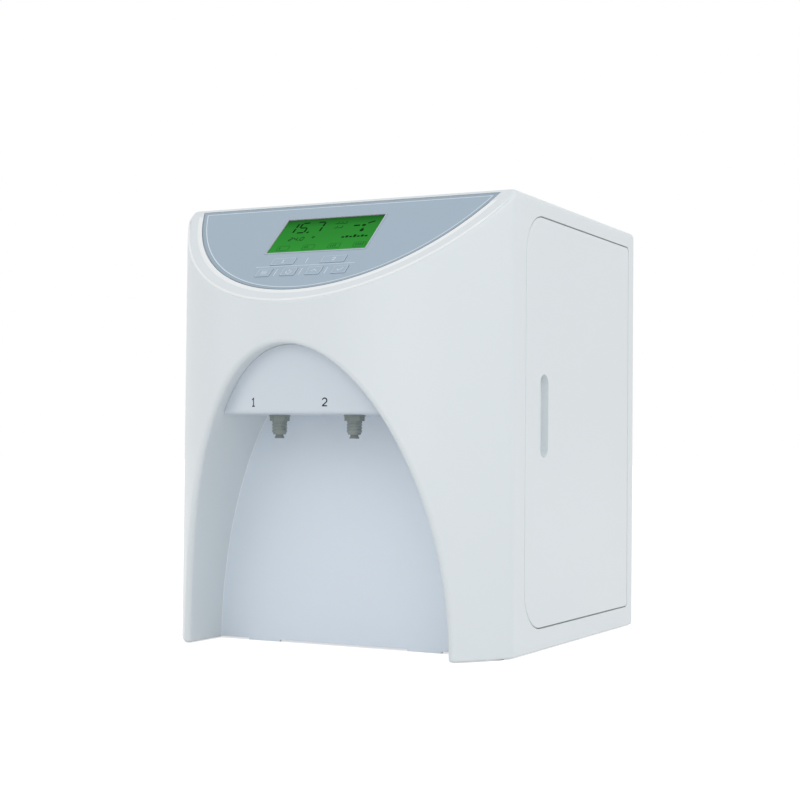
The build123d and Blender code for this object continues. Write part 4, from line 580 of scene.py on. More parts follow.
# Water train inside
CAN = Finish("cartridge_white", (0.78, 0.79, 0.79), 0.3, shade=0.96, drift_scale=12.0, bump=0.04, coat=0.2)
BAND_BLUE = Finish("band_blue", (0.055, 0.17, 0.40), 0.45, shade=0.9, drift_scale=20.0, bump=0.03)
BAND_GREY = Finish("band_grey", (0.28, 0.31, 0.33), 0.45, shade=0.9, drift_scale=20.0, bump=0.03)
HEAD = Finish(
    "head_pale_grey", (0.55, 0.58, 0.60), 0.4, shade=0.93, drift_scale=30.0, grain_scale=1800, bump=0.08,
)
CLIP = Finish("clip_ivory", (0.70, 0.70, 0.66), 0.42, shade=0.94, drift_scale=30.0, bump=0.05)
MOTOR = Finish(
    "motor_enamel", (0.035, 0.038, 0.042), 0.38, shade=1.3, drift_scale=25.0, grain_scale=1500, bump=0.12,
    dust=0.3,
)
BOARD = Finish(
    "board_green", (0.02, 0.13, 0.06), 0.4, shade=0.8, drift_scale=90.0, grain_scale=2400, bump=0.1,
)
TUBE_WHITE = Finish("tube_milky", (0.74, 0.77, 0.79), 0.28, shade=0.93, drift_scale=40.0, bump=0.02)
TUBE_BLUE = Finish("tube_blue", (0.10, 0.27, 0.55), 0.3, shade=0.9, drift_scale=40.0, bump=0.02)
TUBE_RED = Finish("tube_red", (0.50, 0.075, 0.06), 0.3, shade=0.9, drift_scale=40.0, bump=0.02)
CABLE = Finish("cable_black", (0.02, 0.02, 0.022), 0.5, shade=1.4, drift_scale=60.0, bump=0.05)


# ---- Outlines and frames


def turned(origin: Point, axis: Point, across: Point = (1.0, 0.0, 0.0)) -> Matrix:
    """Gives the frame of a seat, its Z along an axis.

    Args:
        origin: The seat's place in millimetres.
        axis: Direction that the piece stands out in.
        across: Direction that its X is turned to, as near as it can be.

    Returns:
        The matrix, still in millimetres.
    """
    up = Vector(axis).normalized()
    side = Vector(across) - up * Vector(across).dot(up)
    if side.length < TINY:
        side = up.orthogonal()
    side.normalize()
    rows = Matrix((side, up.cross(side), up)).transposed().to_4x4()
    return Matrix.Translation(Vector(origin)) @ rows


def circle(radius: float, count: int, start: float = 0.0) -> list[Flat]:
    """Gives points evenly round a circle, the first one at an angle in degrees."""
    turns = [math.radians(start) + 2 * math.pi * step / count for step in range(count)]
    return [(radius * math.cos(turn), radius * math.sin(turn)) for turn in turns]


def arc(centre: Flat, radius: float, start: float, end: float, steps: int = 16) -> list[Flat]:
    """Gives points along an arc, its angles in degrees."""
    turns = [math.radians(start + (end - start) * step / steps) for step in range(steps + 1)]
    return [(centre[0] + radius * math.cos(turn), centre[1] + radius * math.sin(turn)) for turn in turns]


def round_box(wide: float, tall: float, radius: float, centre: Flat = (0.0, 0.0)) -> list[Flat]:
    """Gives the outline of a rectangle with round corners.

    Args:
        wide: Its width.
        tall: Its height.
        radius: Radius of its corners.
        centre: Its middle.

    Returns:
        The outline's points.
    """
    outline = []
    for right, up, start in ((1, 1, 0), (-1, 1, 90), (-1, -1, 180), (1, -1, 270)):
        corner = (centre[0] + right * (wide / 2 - radius), centre[1] + up * (tall / 2 - radius))
        outline += arc(corner, radius, start, start + 90, 5)
    return outline


# ---- Mesh building


class Shape:
    """A mesh in the making, in millimetres."""

    def __init__(self) -> None:
        """Starts an empty mesh."""
        self.bm = bmesh.new()

    def points(self, seat: Matrix, outline: list[Flat], height: float) -> list[bmesh.types.BMVert]:
        """Adds the points of an outline at a height."""
        return [self.bm.verts.new(seat @ Vector((x, y, height))) for x, y in outline]

    def walls(self, lower: list[bmesh.types.BMVert], upper: list[bmesh.types.BMVert]) -> None:
        """Adds the faces between two loops of points.

        Args:
            lower: Points of the lower loop.
            upper: Points of the upper loop, as many.
        """
        for step in range(len(lower)):
            after = (step + 1) % len(lower)
            self.bm.faces.new((lower[step], lower[after], upper[after], upper[step]))

    def lathe(self, seat: Matrix, profile: list[Flat], segments: int = 48) -> None:
        """Adds a turned form.

        Args:
            seat: Frame whose Z is the axis.
            profile: Radius and height of each point; a closed form ends where it starts or on the axis.
            segments: Number of steps round the axis.
        """
        rings = []
        for radius, height in profile:
            outline = circle(radius, segments) if radius > TINY else [(0.0, 0.0)]
            rings.append(self.points(seat, outline, height))
        for low, high in zip(rings, rings[1:]):
            for step in range(segments):
                after = (step + 1) % segments
                below = (low[step % len(low)], low[after % len(low)])
                above = (high[after % len(high)], high[step % len(high)])
                self.bm.faces.new(list(dict.fromkeys(below + above)))

    def prism(self, seat: Matrix, outline: list[Flat], low: float, high: float) -> None:
        """Adds a prism on a flat outline.

        Args:
            seat: Frame of the outline.
            outline: Its corners in order.
            low: Height of the lower face.
            high: Height of the upper face.
        """
        lower, upper = self.points(seat, outline, low), self.points(seat, outline, high)
        self.bm.faces.new(lower[::-1])
        self.bm.faces.new(upper)
        self.walls(lower, upper)

    def ring(self, seat: Matrix, outline: list[Flat], bore: float, low: float, high: float) -> None:
        """Adds a prism with a round bore.

        Args:
            seat: Frame of the outline.
            outline: Its outer corners.
            bore: Radius of the bore.
            low: Height of the lower face.
            high: Height of the upper face.
        """
        loops = []
        for height in (low, high):
            pair = [self.points(seat, points, height) for points in (outline, circle(bore, 48))]
            ends = [(loop[step], loop[(step + 1) % len(loop)]) for loop in pair for step in range(len(loop))]
            edges = [self.bm.edges.new(both) for both in ends]
            bmesh.ops.triangle_fill(self.bm, edges=edges, use_dissolve=False)
            loops.append(pair)
        for lower, upper in zip(*loops):
            self.walls(lower, upper)

    def recessed(
        self, seat: Matrix, profile: list[Flat], hole: list[Flat], depth: float, segments: int
    ) -> None:
        """Adds a turned form whose flat top has a blind hole of any outline.

        Args:
            seat: Frame whose Z is the axis.
            profile: Radius and height from the lower end to the rim of the flat top.
            hole: Outline of the hole.
            depth: Its depth.
            segments: Number of steps round the axis.
        """
        self.lathe(seat, profile, segments)
        self.bm.verts.ensure_lookup_table()
        rim, top = list(self.bm.verts)[-segments:], profile[-1][1]
        upper, lower = self.points(seat, hole, top), self.points(seat, hole, top - depth)
        edges = [self.bm.edges.get((rim[step - 1], rim[step])) for step in range(segments)]
        edges += [self.bm.edges.new((upper[step - 1], upper[step])) for step in range(len(hole))]
        bmesh.ops.triangle_fill(self.bm, edges=edges, use_dissolve=False)
        self.bm.faces.new(lower)
        for step in range(len(hole)):
            self.bm.faces.new((upper[step - 1], upper[step], lower[step], lower[step - 1]))

    def ribbon(
        self, seat: Matrix, path: list[Flat], width: float, low: float, high: float, closed: bool = False
    ) -> None:
        """Adds a printed line of steady width along a flat path.

        Args:
            seat: Frame of the path.
            path: Its points.
            width: The line's width.
            low: Height of its underside.
            high: Height of its top.
            closed: Whether it returns to its start.
        """
        points = [Vector(point) for point in path]
        count = len(points)
        left, right = [], []
        for step, point in enumerate(points):
            before = points[step - 1] if closed or step else None
            after = points[(step + 1) % count] if closed or step < count - 1 else None
            arrive = (point - before).normalized() if before is not None else (after - point).normalized()
            leave = (after - point).normalized() if after is not None else arrive
            normal = Vector((-(arrive.y + leave.y), arrive.x + leave.x)).normalized()
            reach = width / 2 / max(0.5, normal.dot(Vector((-arrive.y, arrive.x))))
            left.append(point + normal * reach)
            right.append(point - normal * reach)
        for step in range(count if closed else count - 1):
            after = (step + 1) % count
            corners = (right[step], right[after], left[after], left[step])
            self.prism(seat, [(corner.x, corner.y) for corner in corners], low, high)

    def sweep(self, rings: list[list[Vector]]) -> None:
        """Adds a skin over a row of rings, closed at both ends.

        Args:
            rings: The points of each ring.
        """
        made = [[self.bm.verts.new(point) for point in ring] for ring in rings]
        for before, after in zip(made, made[1:]):
            for corner in range(len(before)):
                self.bm.faces.new((before[corner - 1], before[corner], after[corner], after[corner - 1]))
        self.bm.faces.new(made[0])
        self.bm.faces.new(made[-1][::-1])

    def wrap(self, seat: Matrix, radius: float, first: int = 0, side: int = 1) -> None:
        """Bends flat print round a cylinder.

        Args:
            seat: Frame of the cylinder, its X towards the print's middle.
            radius: Radius of the cylinder.
            first: Number of the first point that is bent.
            side: 1, or -1 to face the other way.
        """
        self.bm.verts.ensure_lookup_table()
        for vert in self.bm.verts[first:]:
            turn, lift = vert.co.x / radius, radius + vert.co.z
            vert.co = seat @ Vector((side * lift * math.cos(turn), lift * math.sin(turn), vert.co.y))

    def block(self, low: Point, high: Point) -> None:
        """Adds a box between two corners."""
        outline = [(low[0], low[1]), (high[0], low[1]), (high[0], high[1]), (low[0], high[1])]
        self.prism(Matrix.Identity(4), outline, low[2], high[2])

    def finish(
        self, name: str, look: Look, slot: Slot, body: str = Body.CABINET.value, bevel: float = 0.0,
        crease: float = 35.0,
    ) -> bpy.types.Object:
        """Turns the mesh into a piece of the scene.

        Args:
            name: The piece's name.
            look: Its finish.
            slot: The record's material slot; not used.
            body: The body that it rides on.
            bevel: Width of its rounded edges, or zero.
            crease: Angle over which an edge stays sharp, in degrees.

        Returns:
            The object.
        """
        bmesh.ops.recalc_face_normals(self.bm, faces=self.bm.faces)
        self.bm.transform(Matrix.Scale(MM, 4))
        for face in self.bm.faces:
            face.smooth = True
        for edge in self.bm.edges:
            edge.smooth = edge.calc_face_angle(0.0) < math.radians(crease)
        mesh = bpy.data.meshes.new(name)
        self.bm.to_mesh(mesh)
        self.bm.free()
        piece = bpy.data.objects.new(name, mesh)
        bpy.context.scene.collection.objects.link(piece)
        mesh.materials.append(look.build())
        if bevel:
            round_edges(piece, bevel, 40.0)
        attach(piece, body)
        log.info("%s: %d faces on %s", name, len(mesh.polygons), body)
        return piece


def round_edges(piece: bpy.types.Object, width: float, angle: float) -> None:
    """Rounds a piece's sharp edges.

    Args:
        piece: The piece.
        width: Width of the rounding in millimetres.
        angle: Angle over which an edge is rounded, in degrees.
    """
    bevel = piece.modifiers.new("rounded_edges", "BEVEL")
    bevel.width, bevel.segments = width * MM, 2
    bevel.limit_method, bevel.angle_limit = "ANGLE", math.radians(angle)
    bevel.use_clamp_overlap = True
    bevel.harden_normals = False


def dress(node: str, look: Look, round_edge: float = 0.0) -> None:
    """Gives a solid of the model its finish, and rounds its sharp edges where asked.

    Args:
        node: The node's name.
        look: Its finish.
        round_edge: Width of the rounding in millimetres, or zero.
    """
    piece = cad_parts[node]
    piece.data.materials.clear()
    piece.data.materials.append(look.build())
    if round_edge:
        weld = piece.modifiers.new("welded_seams", "WELD")
        weld.merge_threshold = 0.01 * MM
        round_edges(piece, round_edge, 50.0)
    log.info("%s wears %s", node, look.name)


# ---- Places shared by the sub-assemblies, from the solid model


@dataclass(frozen=True)
class Places:
    """Places of the solid model that several sub-assemblies need.

    Attributes:
        edge_y: The console's top edge.
        height: Height of the housing.
        half: Half the width.
        bow_r: Radius of the bow in plan.
        bow_y: Centre of the bow.
        tilt: Fall of the console, in degrees.
        rear_y: Outer face of the rear panel.
        hood_z: Underside of the outlet hood.
        outlet_y: Where the outlets stand.
        arch: Half the width and the height of the niche's arch.
        pump_x: Middle of the pump and of the membrane housing.
        board_d: Depth of the control board's inner side under the slope.
        inlet: Place across and outer face of the power inlet.
    """

    edge_y: float = -130.7
    height: float = 480.0
    half: float = 200.0
    bow_r: float = 220.643
    bow_y: float = -42.057
    tilt: float = 42.0
    rear_y: float = 238.3
    hood_z: float = 247.0
    outlet_y: float = -190.7
    arch: Flat = (154.0, 318.0)
    pump_x: float = -108.0
    board_d: float = 15.6
    inlet: Flat = (-140.0, 240.8)

    def at(self, x: float, y: float, z: float) -> Point:
        """Gives a point whose Y is measured from the console's top edge."""
        return (x, self.edge_y + y, z)

    def slope(self) -> Matrix:
        """Gives the console's frame: X across, Y up the slope, Z out of it."""
        fall = math.radians(self.tilt)
        return turned((0, self.edge_y, self.height), (0, -math.sin(fall), math.cos(fall)))


AT = Places()


# ---- Studio


@dataclass
class Studio:
    """Camera, lamps, world and floor.

    Attributes:
        eye: The camera's place in metres.
        right: Direction to the right of the picture.
        down: Direction down the picture.
        forward: Direction into the picture.
        lens: Focal length on the sensor.
        sensor: Width of the sensor.
        lamps: Name, place, size and power of each soft lamp, in metres and watts.
        target: Height that the lamps look at, in metres.
        ambient: Strength of the world's light on the object.
        floor_lift: How much the floor glows for the camera, to show as white round the object's shadow.
        floor_tone: Tone of the floor.
        floor_reach: Half the floor's side in metres.
    """

    eye: Point = (0.8274, -1.6219, 0.2128)
    right: Point = (0.8909, 0.4541, 0.0095)
    down: Point = (-0.0055, 0.0317, -0.9995)
    forward: Point = (-0.4542, 0.8904, 0.0307)
    lens: float = 71.21
    sensor: float = 36.0
    lamps: tuple = (
        ("key_lamp", (-1.4, -2.8, 1.7), 2.0, 9.0),
        ("side_lamp", (2.8, -0.4, 2.0), 2.0, 18.0),
        ("fill_lamp", (1.7, -2.7, 0.55), 2.6, 18.0),
        ("left_lamp", (-2.6, -1.4, 0.7), 1.6, 5.0),
    )
    target: float = 0.24
    ambient: float = 0.72
    floor_lift: float = 0.66
    floor_tone: float = 0.82
    floor_reach: float = 20.0

    def build(self) -> None:
        """Builds the camera first, then the world, the lamps and the floor."""
        self.camera()
        self.world()
        for name, place, size, power in self.lamps:
            self.lamp(name, place, size, power)
        self.floor()
        bpy.context.scene.view_settings.view_transform = "Standard"

    def camera(self) -> None:
        """Places the camera at the photograph's viewpoint."""
        data = bpy.data.cameras.new("camera")
        data.lens, data.sensor_width = self.lens, self.sensor
        data.clip_start, data.clip_end = 0.05, 50.0
        made = bpy.data.objects.new("camera", data)
        bpy.context.scene.collection.objects.link(made)
        rows = Matrix((self.right, [-value for value in self.down], [-value for value in self.forward]))
        made.matrix_world = Matrix.Translation(self.eye) @ rows.transposed().to_4x4()
        bpy.context.scene.camera = made

    def world(self) -> None:
        """Builds a plain world that the camera and mirrors see as white."""
        world = bpy.data.worlds.new("studio")
        bpy.context.scene.world = world
        world.use_nodes = True
        tree = world.node_tree
        back = tree.nodes["Background"]
        clear = ray_mask(tree, "Is Camera Ray", "Is Glossy Ray", "Is Transmission Ray")
        tree.links.new(remap(tree, clear, 0.0, 1.0, self.ambient, 1.0), back.inputs["Strength"])
        back.inputs["Color"].default_value = (1, 1, 1, 1)

    def lamp(self, name: str, place: Point, size: float, power: float) -> None:
        """Adds a soft square lamp that looks at the object.

        Args:
            name: The lamp's name.
            place: Its place in metres.
            size: Its side in metres.
            power: Its power in watts.
        """
        data = bpy.data.lights.new(name, "AREA")
        data.size, data.energy = size, power
        made = bpy.data.objects.new(name, data)
        bpy.context.scene.collection.objects.link(made)
        made.location = place
        made.rotation_mode = "QUATERNION"
        made.rotation_quaternion = (Vector((0, 0, self.target)) - Vector(place)).to_track_quat("-Z", "Y")

    def floor(self) -> None:
        """Lays a pale floor that keeps the object's shadow."""
        mesh = bpy.data.meshes.new("floor")
        far = self.floor_reach
        mesh.from_pydata([(-far, -far, 0), (far, -far, 0), (far, far, 0), (-far, far, 0)], [], [(0, 1, 2, 3)])
        made = bpy.data.objects.new("floor", mesh)
        bpy.context.scene.collection.objects.link(made)
        material, tree, shader = new_material("studio_floor")
        seen = ray_mask(tree, "Is Camera Ray", "Is Glossy Ray")
        lift = combine(tree, "MULTIPLY", seen, self.floor_lift)
        tree.links.new(lift, shader.inputs["Emission Strength"])
        shader.inputs["Emission Color"].default_value = (1, 1, 1, 1)
        shader.inputs["Base Color"].default_value = (self.floor_tone,) * 3 + (1,)
        shader.inputs["Roughness"].default_value = 0.9
        shader.inputs["Specular IOR Level"].default_value = 0.0
        mesh.materials.append(material)


# ---- Sub-assemblies


@dataclass
class Fasteners:
    """Pan head screws with a cross recess, in two sizes.

    Attributes:
        large: Head radius, head height and shank radius of the cabinet's screws.
        small: The same of the small screws.
        recess: Share of the head that the cross spans, and its arm's share.
        segments: Number of steps round a head.
        feet: Places of the feet's screws across and back, and their height.
        rear: Places of the rear panel's screws across and up, along its sides.
        rear_ends: The same along its top and its foot.
        cover: Places of the top cover's screws across and back, and their height.
        niche_out: How far the niche's screws stand outside its arch.
        niche_turns: Where they stand round the arch, in degrees.
        niche_y: Seat of the niche's and the hood's screws behind the console's top edge.
        hood: Places of the hood's screws across, and their height.
        board: Places of the control board's screws across and down the slope.
        wall: Place of the partition's screws across, their places back, and their height.
        pump: Places of the cradle's screws about the pump's middle and back, and their height.
        inlet_z: Heights of the power inlet's screws.
        reaches: Shank lengths of the screws into the feet, thin sheet, plastic, the board and the floor.
    """

    large: Point = (3.8, 2.0, 2.0)
    small: Point = (2.6, 1.8, 1.4)
    recess: Flat = (0.58, 0.17)
    segments: int = 28
    feet: tuple = ((-182, 182), (-138.7, 180.3), 2.6)
    rear: tuple = ((-189, 189), (60, 240, 420))
    rear_ends: tuple = ((-90, 467), (90, 467), (-110, 14), (110, 14))
    cover: tuple = ((-183, 183), (40, 185, 330), 478.2)
    niche_out: float = 7.0
    niche_turns: tuple = (12, 50, 130, 168)
    niche_y: float = 3.0
    hood: tuple = ((-66, 66), 254)
    board: tuple = ((-80, 80), (20, 138))
    wall: tuple = (9, (40, 180, 320), 7.5)
    pump: tuple = ((-33, 33), (106, 212), 9)
    inlet_z: Flat = (28.5, 111.5)
    reaches: tuple = (14.4, 8.0, 11.0, 9.6, 3.5)

    def large_seats(self) -> list[tuple[Point, Point, float]]:
        """Lists the place, direction and reach of the screws of the feet and of the rear panel.

        Returns:
            The list.
        """
        across, back, foot = self.feet
        feet = [(x, y, foot) for y in back for x in across]
        rear = [(x, AT.rear_y, z) for x in self.rear[0] for z in self.rear[1]]
        rear += [(x, AT.rear_y, z) for x, z in self.rear_ends]
        into_feet, sheet = self.reaches[:2]
        return [(place, DOWN, into_feet) for place in feet] + [(place, BACK, sheet) for place in rear]

    def small_seats(self) -> list[tuple[Point, Point, float]]:
        """Lists the place, direction and reach of the small screws.

        Returns:
            The list.
        """
        wide, tall = (size + self.niche_out for size in AT.arch)
        turns = [math.radians(turn) for turn in self.niche_turns]
        slope, inward = AT.slope(), tuple(AT.slope().to_3x3() @ Vector(DOWN))
        seat_y, (_, sheet, plastic, board_in, floor_in) = self.niche_y, self.reaches
        cover = [AT.at(x, y, self.cover[2]) for x in self.cover[0] for y in self.cover[1]]
        niche = [AT.at(wide * math.cos(turn), seat_y, tall * math.sin(turn)) for turn in turns]
        hood = [AT.at(x, seat_y, self.hood[1]) for x in self.hood[0]]
        board = [tuple(slope @ Vector((x, -y, -AT.board_d))) for y in self.board[1] for x in self.board[0]]
        wall = [AT.at(self.wall[0], y, self.wall[2]) for y in self.wall[1]]
        pump = [AT.at(AT.pump_x + x, y, self.pump[2]) for x in self.pump[0] for y in self.pump[1]]
        inlet = [(*AT.inlet, z) for z in self.inlet_z]
        groups = ((cover, UP, sheet), (niche + hood, BACK, plastic), (board, inward, board_in))
        groups += ((wall + pump, UP, floor_in), (inlet, BACK, sheet))
        return [(place, way, reach) for places, way, reach in groups for place in places]

    def screw(self, shape: Shape, seat: Matrix, size: Point, reach: float) -> None:
        """Adds one screw to a mesh.

        Args:
            shape: The mesh.
            seat: The frame of the head's seat.
            size: Head radius, head height and shank radius.
            reach: Length of the shank.
        """
        radius, height, shank = size
        span, arm = radius * self.recess[0], radius * self.recess[1]
        cross = [(span, arm), (arm, arm), (arm, span), (-arm, span), (-arm, arm), (-span, arm)]
        cross += [(-x, -y) for x, y in cross]
        profile = [(0, -reach), (shank * 0.7, -reach), (shank, -reach + shank * 0.5), (shank, 0)]
        profile += [(radius - 0.15, 0), (radius, 0.15), (radius, height * 0.45)]
        profile += [(radius * 0.9, height * 0.78), (radius * 0.72, height)]
        shape.recessed(seat, profile, cross, height * 0.6, self.segments)

    def build(self) -> None:
        """Builds both sets of screws."""
        large, small = (self.large_seats(), self.large), (self.small_seats(), self.small)
        for name, (seats, size) in (("cabinet_screws", large), ("small_screws", small)):
            shape = Shape()
            for place, way, reach in seats:
                self.screw(shape, turned(place, way), size, reach)
            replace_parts(shape.finish(f"{name}_crosshead", STEEL, Slot.STEEL), name)


@dataclass
class Housing:
    """The moulded shell with its covers, sheets and feet.

    Attributes:
        looks: The finish of each solid.
        bead: Width of the bead in the niche's corner, pale with a painted highlight.
        bead_foot: Height at which the bead starts.
        steps: Number of steps along the bead.
    """

    looks: tuple = (
        ("housing_shell", SHELL),
        ("top_cover", SHELL),
        ("niche_panel", NICHE),
        ("outlet_hood", HOOD),
        ("rear_panel", SHEET),
        ("base_pan", SHEET),
        ("partition", SHEET),
        ("rubber_feet", RUBBER),
        ("hinge_pins", STEEL),
        ("door_magnets", MAGNET),
    )
    bead: float = 0.7
    bead_foot: float = 3.0
    steps: int = 72

    def build(self) -> None:
        """Dresses the solids and builds the bead."""
        for node, look in self.looks:
            dress(node, look)
        self.niche_joint()

    def niche_joint(self) -> None:
        """Builds the bead in the corner where the tunnel meets the niche's back wall, pale with a painted
        highlight of that corner.
        """
        wide, tall = AT.arch
        start = math.asin(self.bead_foot / tall)
        section = ((0.2, 0.2), (-self.bead, 0.2), (0.2, -self.bead))
        rings = []
        for step in range(self.steps + 1):
            turn = start + (math.pi - 2 * start) * step / self.steps
            middle = Vector((wide * math.cos(turn), AT.edge_y, tall * math.sin(turn)))
            out = Vector((math.cos(turn) / wide, 0, math.sin(turn) / tall)).normalized()
            rings.append([middle + out * side + Vector((0, back, 0)) for side, back in section])
        shape = Shape()
        shape.sweep(rings)
        shape.finish("niche_corner_bead", PAINTED_EDGE_HIGHLIGHT, Slot.NICHE, crease=60.0)


@dataclass
class HoodLabels:
    """Plain outlet numbers printed on the hood's curved face.

    Attributes:
        face_r: Radius of the hood's face.
        low: Height of the foot of the numbers.
        tall: Their height.
        places: Where they stand across the front.
        stroke: Width of their strokes.
        thick: Thickness of the print.
    """

    face_r: float = 202.643
    low: float = 254.5
    tall: float = 9.0
    places: Flat = (-47.5, 38.0)
    stroke: float = 1.2
    thick: float = 0.08

    def strokes(self, digit: int) -> list[list[Flat]]:
        """Gives the strokes of a digit in a box from its foot up.

        Args:
            digit: 1 or 2.

        Returns:
            Paths of points.
        """
        top = self.tall
        if digit == 1:
            return [[(-1.8, top - 2.0), (0.2, top - 0.4), (0.2, 0.5)], [(-1.7, 0.5), (2.1, 0.5)]]
        bowl = arc((0, top - 3.0), 2.4, 165, -35, 14)
        return [bowl + [(-2.4, 0.6)], [(-2.5, 0.6), (2.7, 0.6)]]

    def build(self) -> None:
        """Builds both numbers, wrapped round the hood's face."""
        seat = turned((0, AT.bow_y, 0), UP, (0, -1, 0))
        for digit, place in zip((1, 2), self.places):
            shape = Shape()
            middle = self.face_r * math.asin(place / self.face_r)
            for path in self.strokes(digit):
                moved = [(middle + x, self.low + z) for x, z in path]
                shape.ribbon(Matrix.Identity(4), moved, self.stroke, 0.0, self.thick)
            shape.wrap(seat, self.face_r)
            shape.finish(f"outlet_number_{digit}", INK, Slot.BLACK)


@dataclass
class Console:
    """The film panel with its border, beads, printed lines and keys; the beads and the outer edge are pale
    with a painted highlight, and a dark strip in the gap is a painted shadow.

    Attributes:
        tip_x: Half the panel's width at its tips.
        sag: How far the panel's arc hangs in plan.
        top_drop: Its straight top edge, down the slope.
        steps: Number of steps along its arc.
        sink: How deep its face lies under the slope.
        print_t: Thickness of the print.
        pale_line: How far inside the panel's edge the pale line runs, and its width.
        hair_line: The same of the fine dark line.
        divider_w: Width of the lines between the keys.
        dividers: Ends of the lines between the keys.
        bead: Distance out of the panel's edge and height of each point of the bead.
        seam: The same of the dark strip in the gap round the panel, a painted shadow.
        edge_turn: Half the angle of the bow along which the outer edge runs, in degrees.
        edge_r: Radius of the outer edge.
        edge_sunk: Share of that radius by which it lies under the slope.
        keys: Place across and up the slope, and size, of every key.
        key_rim: How far the printed rim lies inside a key on both sides together, and its width.
        sign_w: Width of the strokes of a key's sign.
        key_print: Underside and top of the print on the keys.
    """

    tip_x: float = 183.0
    sag: float = 118.4
    top_drop: float = 4.5
    steps: int = 96
    sink: float = 0.5
    print_t: float = 0.06
    pale_line: Flat = (4.6, 1.1)
    hair_line: Flat = (2.1, 0.35)
    divider_w: float = 0.7
    dividers: tuple = (
        ((-60, -117.3), (58, -117.3)), ((-2, -104.5), (-2, -113.5)), ((-31, -122.5), (-31, -134)),
        ((-1, -122.5), (-1, -134)), ((29, -122.5), (29, -134)),
    )
    bead: tuple = (
        (0.9, -0.4), (0.95, 0.2), (1.5, 0.6), (2.7, 0.85), (4.2, 0.65), (5.8, 0.12), (6.4, -0.1), (6.4, -0.4),
    )
    seam: tuple = ((0.05, -2.4), (0.05, 0.05), (0.2, 0.2), (0.6, 0.2), (0.75, 0.05), (0.75, -2.4))
    edge_turn: float = 63.0
    edge_r: float = 1.5
    edge_sunk: float = 0.55
    keys: tuple = (
        ((-30.0, -109.0), (28.0, 12.0)),
        ((30.0, -109.0), (28.0, 12.0)),
        ((-45.0, -128.0), (17.0, 13.5)),
        ((-15.0, -128.0), (17.0, 13.5)),
        ((15.0, -128.0), (17.0, 13.5)),
        ((45.0, -128.0), (17.0, 13.5)),
    )
    key_rim: Flat = (1.2, 0.3)
    sign_w: float = 0.7
    key_print: Flat = (0.0, 0.05)

    def outline(self, grow: float) -> list[Flat]:
        """Gives the panel's outline on the slope, grown outwards.

        Args:
            grow: How far it is grown.

        Returns:
            The points from the left tip along the arc to the right tip.
        """
        radius = (self.tip_x**2 + self.sag**2) / (2 * self.sag)
        stretch = math.cos(math.radians(AT.tilt))
        centre, across, along = (radius - self.sag) / stretch, radius + grow, radius / stretch + grow
        start = math.asin((grow - self.top_drop - centre) / along)
        share = (math.pi + 2 * start) / self.steps
        turns = [-math.pi - start + share * step for step in range(self.steps + 1)]
        return [(across * math.cos(turn), centre + along * math.sin(turn)) for turn in turns]

    def build(self) -> None:
        """Dresses the panel and builds everything on it."""
        dress("console_panel", FILM)
        dress("key_board", BOARD)
        self.border()
        self.lines()
        # The bead is pale with a painted highlight.
        self.band("console_bead", PAINTED_EDGE_HIGHLIGHT, Slot.SHELL, self.bead, 2, 4)
        # A dark strip in the gap round the panel, fading in along the arc: a painted shadow.
        self.band("console_gap_shadow_strip", PAINTED_GAP_SHADOW, Slot.BLACK, self.seam, 30, 20)
        self.outer_edge()
        self.key_prints()

    def border(self) -> None:
        """Builds the darker border between the panel's edge and the pale line."""
        shape = Shape()
        outer, inner = self.outline(-0.15), self.outline(-self.pale_line[0])
        for step in range(len(outer)):
            after = (step + 1) % len(outer)
            corners = [outer[step], outer[after], inner[after], inner[step]]
            shape.prism(AT.slope(), corners, -self.sink, -self.sink + self.print_t)
        shape.finish("console_border", BORDER, Slot.CONSOLE)

    def lines(self) -> None:
        """Builds the lines along the border and the lines between the keys."""
        slope, low, high = AT.slope(), -self.sink, -self.sink + self.print_t
        pale, hair = (self.pale_line, PRINT, 0.03), (self.hair_line, FILM, 0.02)
        for name, ((inside, width), look, rise) in (("console_pale_line", pale), ("console_hair_line", hair)):
            rim = Shape()
            rim.ribbon(slope, self.outline(-inside), width, low + 0.01, high + rise, closed=True)
            rim.finish(name, look, Slot.CONSOLE)
        shape = Shape()
        for ends in self.dividers:
            shape.ribbon(slope, list(ends), self.divider_w, low, high)
        shape.finish("console_divider_lines", PRINT, Slot.CONSOLE)

    def band(self, name: str, look: Look, slot: Slot, profile: tuple, start: int, fade: int) -> None:
        """Sweeps a profile along the panel's arc, flattened at both ends.

        Args:
            name: The piece's name.
            look: Its finish.
            slot: The record's material slot.
            profile: Distance out of the panel's edge and height of each point, as a closed loop.
            start: First step along the arc.
            fade: Number of steps over which it rises at its start.
        """
        slope, lines = AT.slope(), [self.outline(grow) for grow, _ in profile]
        last = self.steps - 2
        rings = []
        for step in range(start, last):
            share = min(1.0, (step - start + 0.2) / fade, (last - step - 0.8) / 2)
            lifts = [lift if lift < 0 else lift * share for _, lift in profile]
            rings.append([slope @ Vector((*line[step], lift)) for line, lift in zip(lines, lifts)])
        shape = Shape()
        shape.sweep(rings)
        shape.finish(name, look, slot, crease=60.0)

    def outer_edge(self) -> None:
        """Builds the rounded edge where the slope meets the bow, lighter than the shell with a painted
        highlight.
        """
        fall, steps = math.radians(AT.tilt), 84
        rings = []
        for step in range(steps + 1):
            turn = math.radians(self.edge_turn * (2 * step / steps - 1))
            out = Vector((math.sin(turn), -math.cos(turn), 0))
            size = self.edge_r * min(1.0, 0.3 + step / 8, 0.3 + (steps - step) / 8)
            middle = Vector((0, AT.bow_y, 0)) + out * (AT.bow_r - size)
            middle.z = AT.height - (AT.edge_y - middle.y) * math.tan(fall)
            middle.z -= self.edge_sunk * size / math.cos(fall)
            rings.append([middle + out * x + Vector((0, 0, z)) for x, z in circle(size, 10)])
        shape = Shape()
        shape.sweep(rings)
        shape.finish("console_outer_edge", PAINTED_EDGE_HIGHLIGHT, Slot.SHELL, crease=70.0)

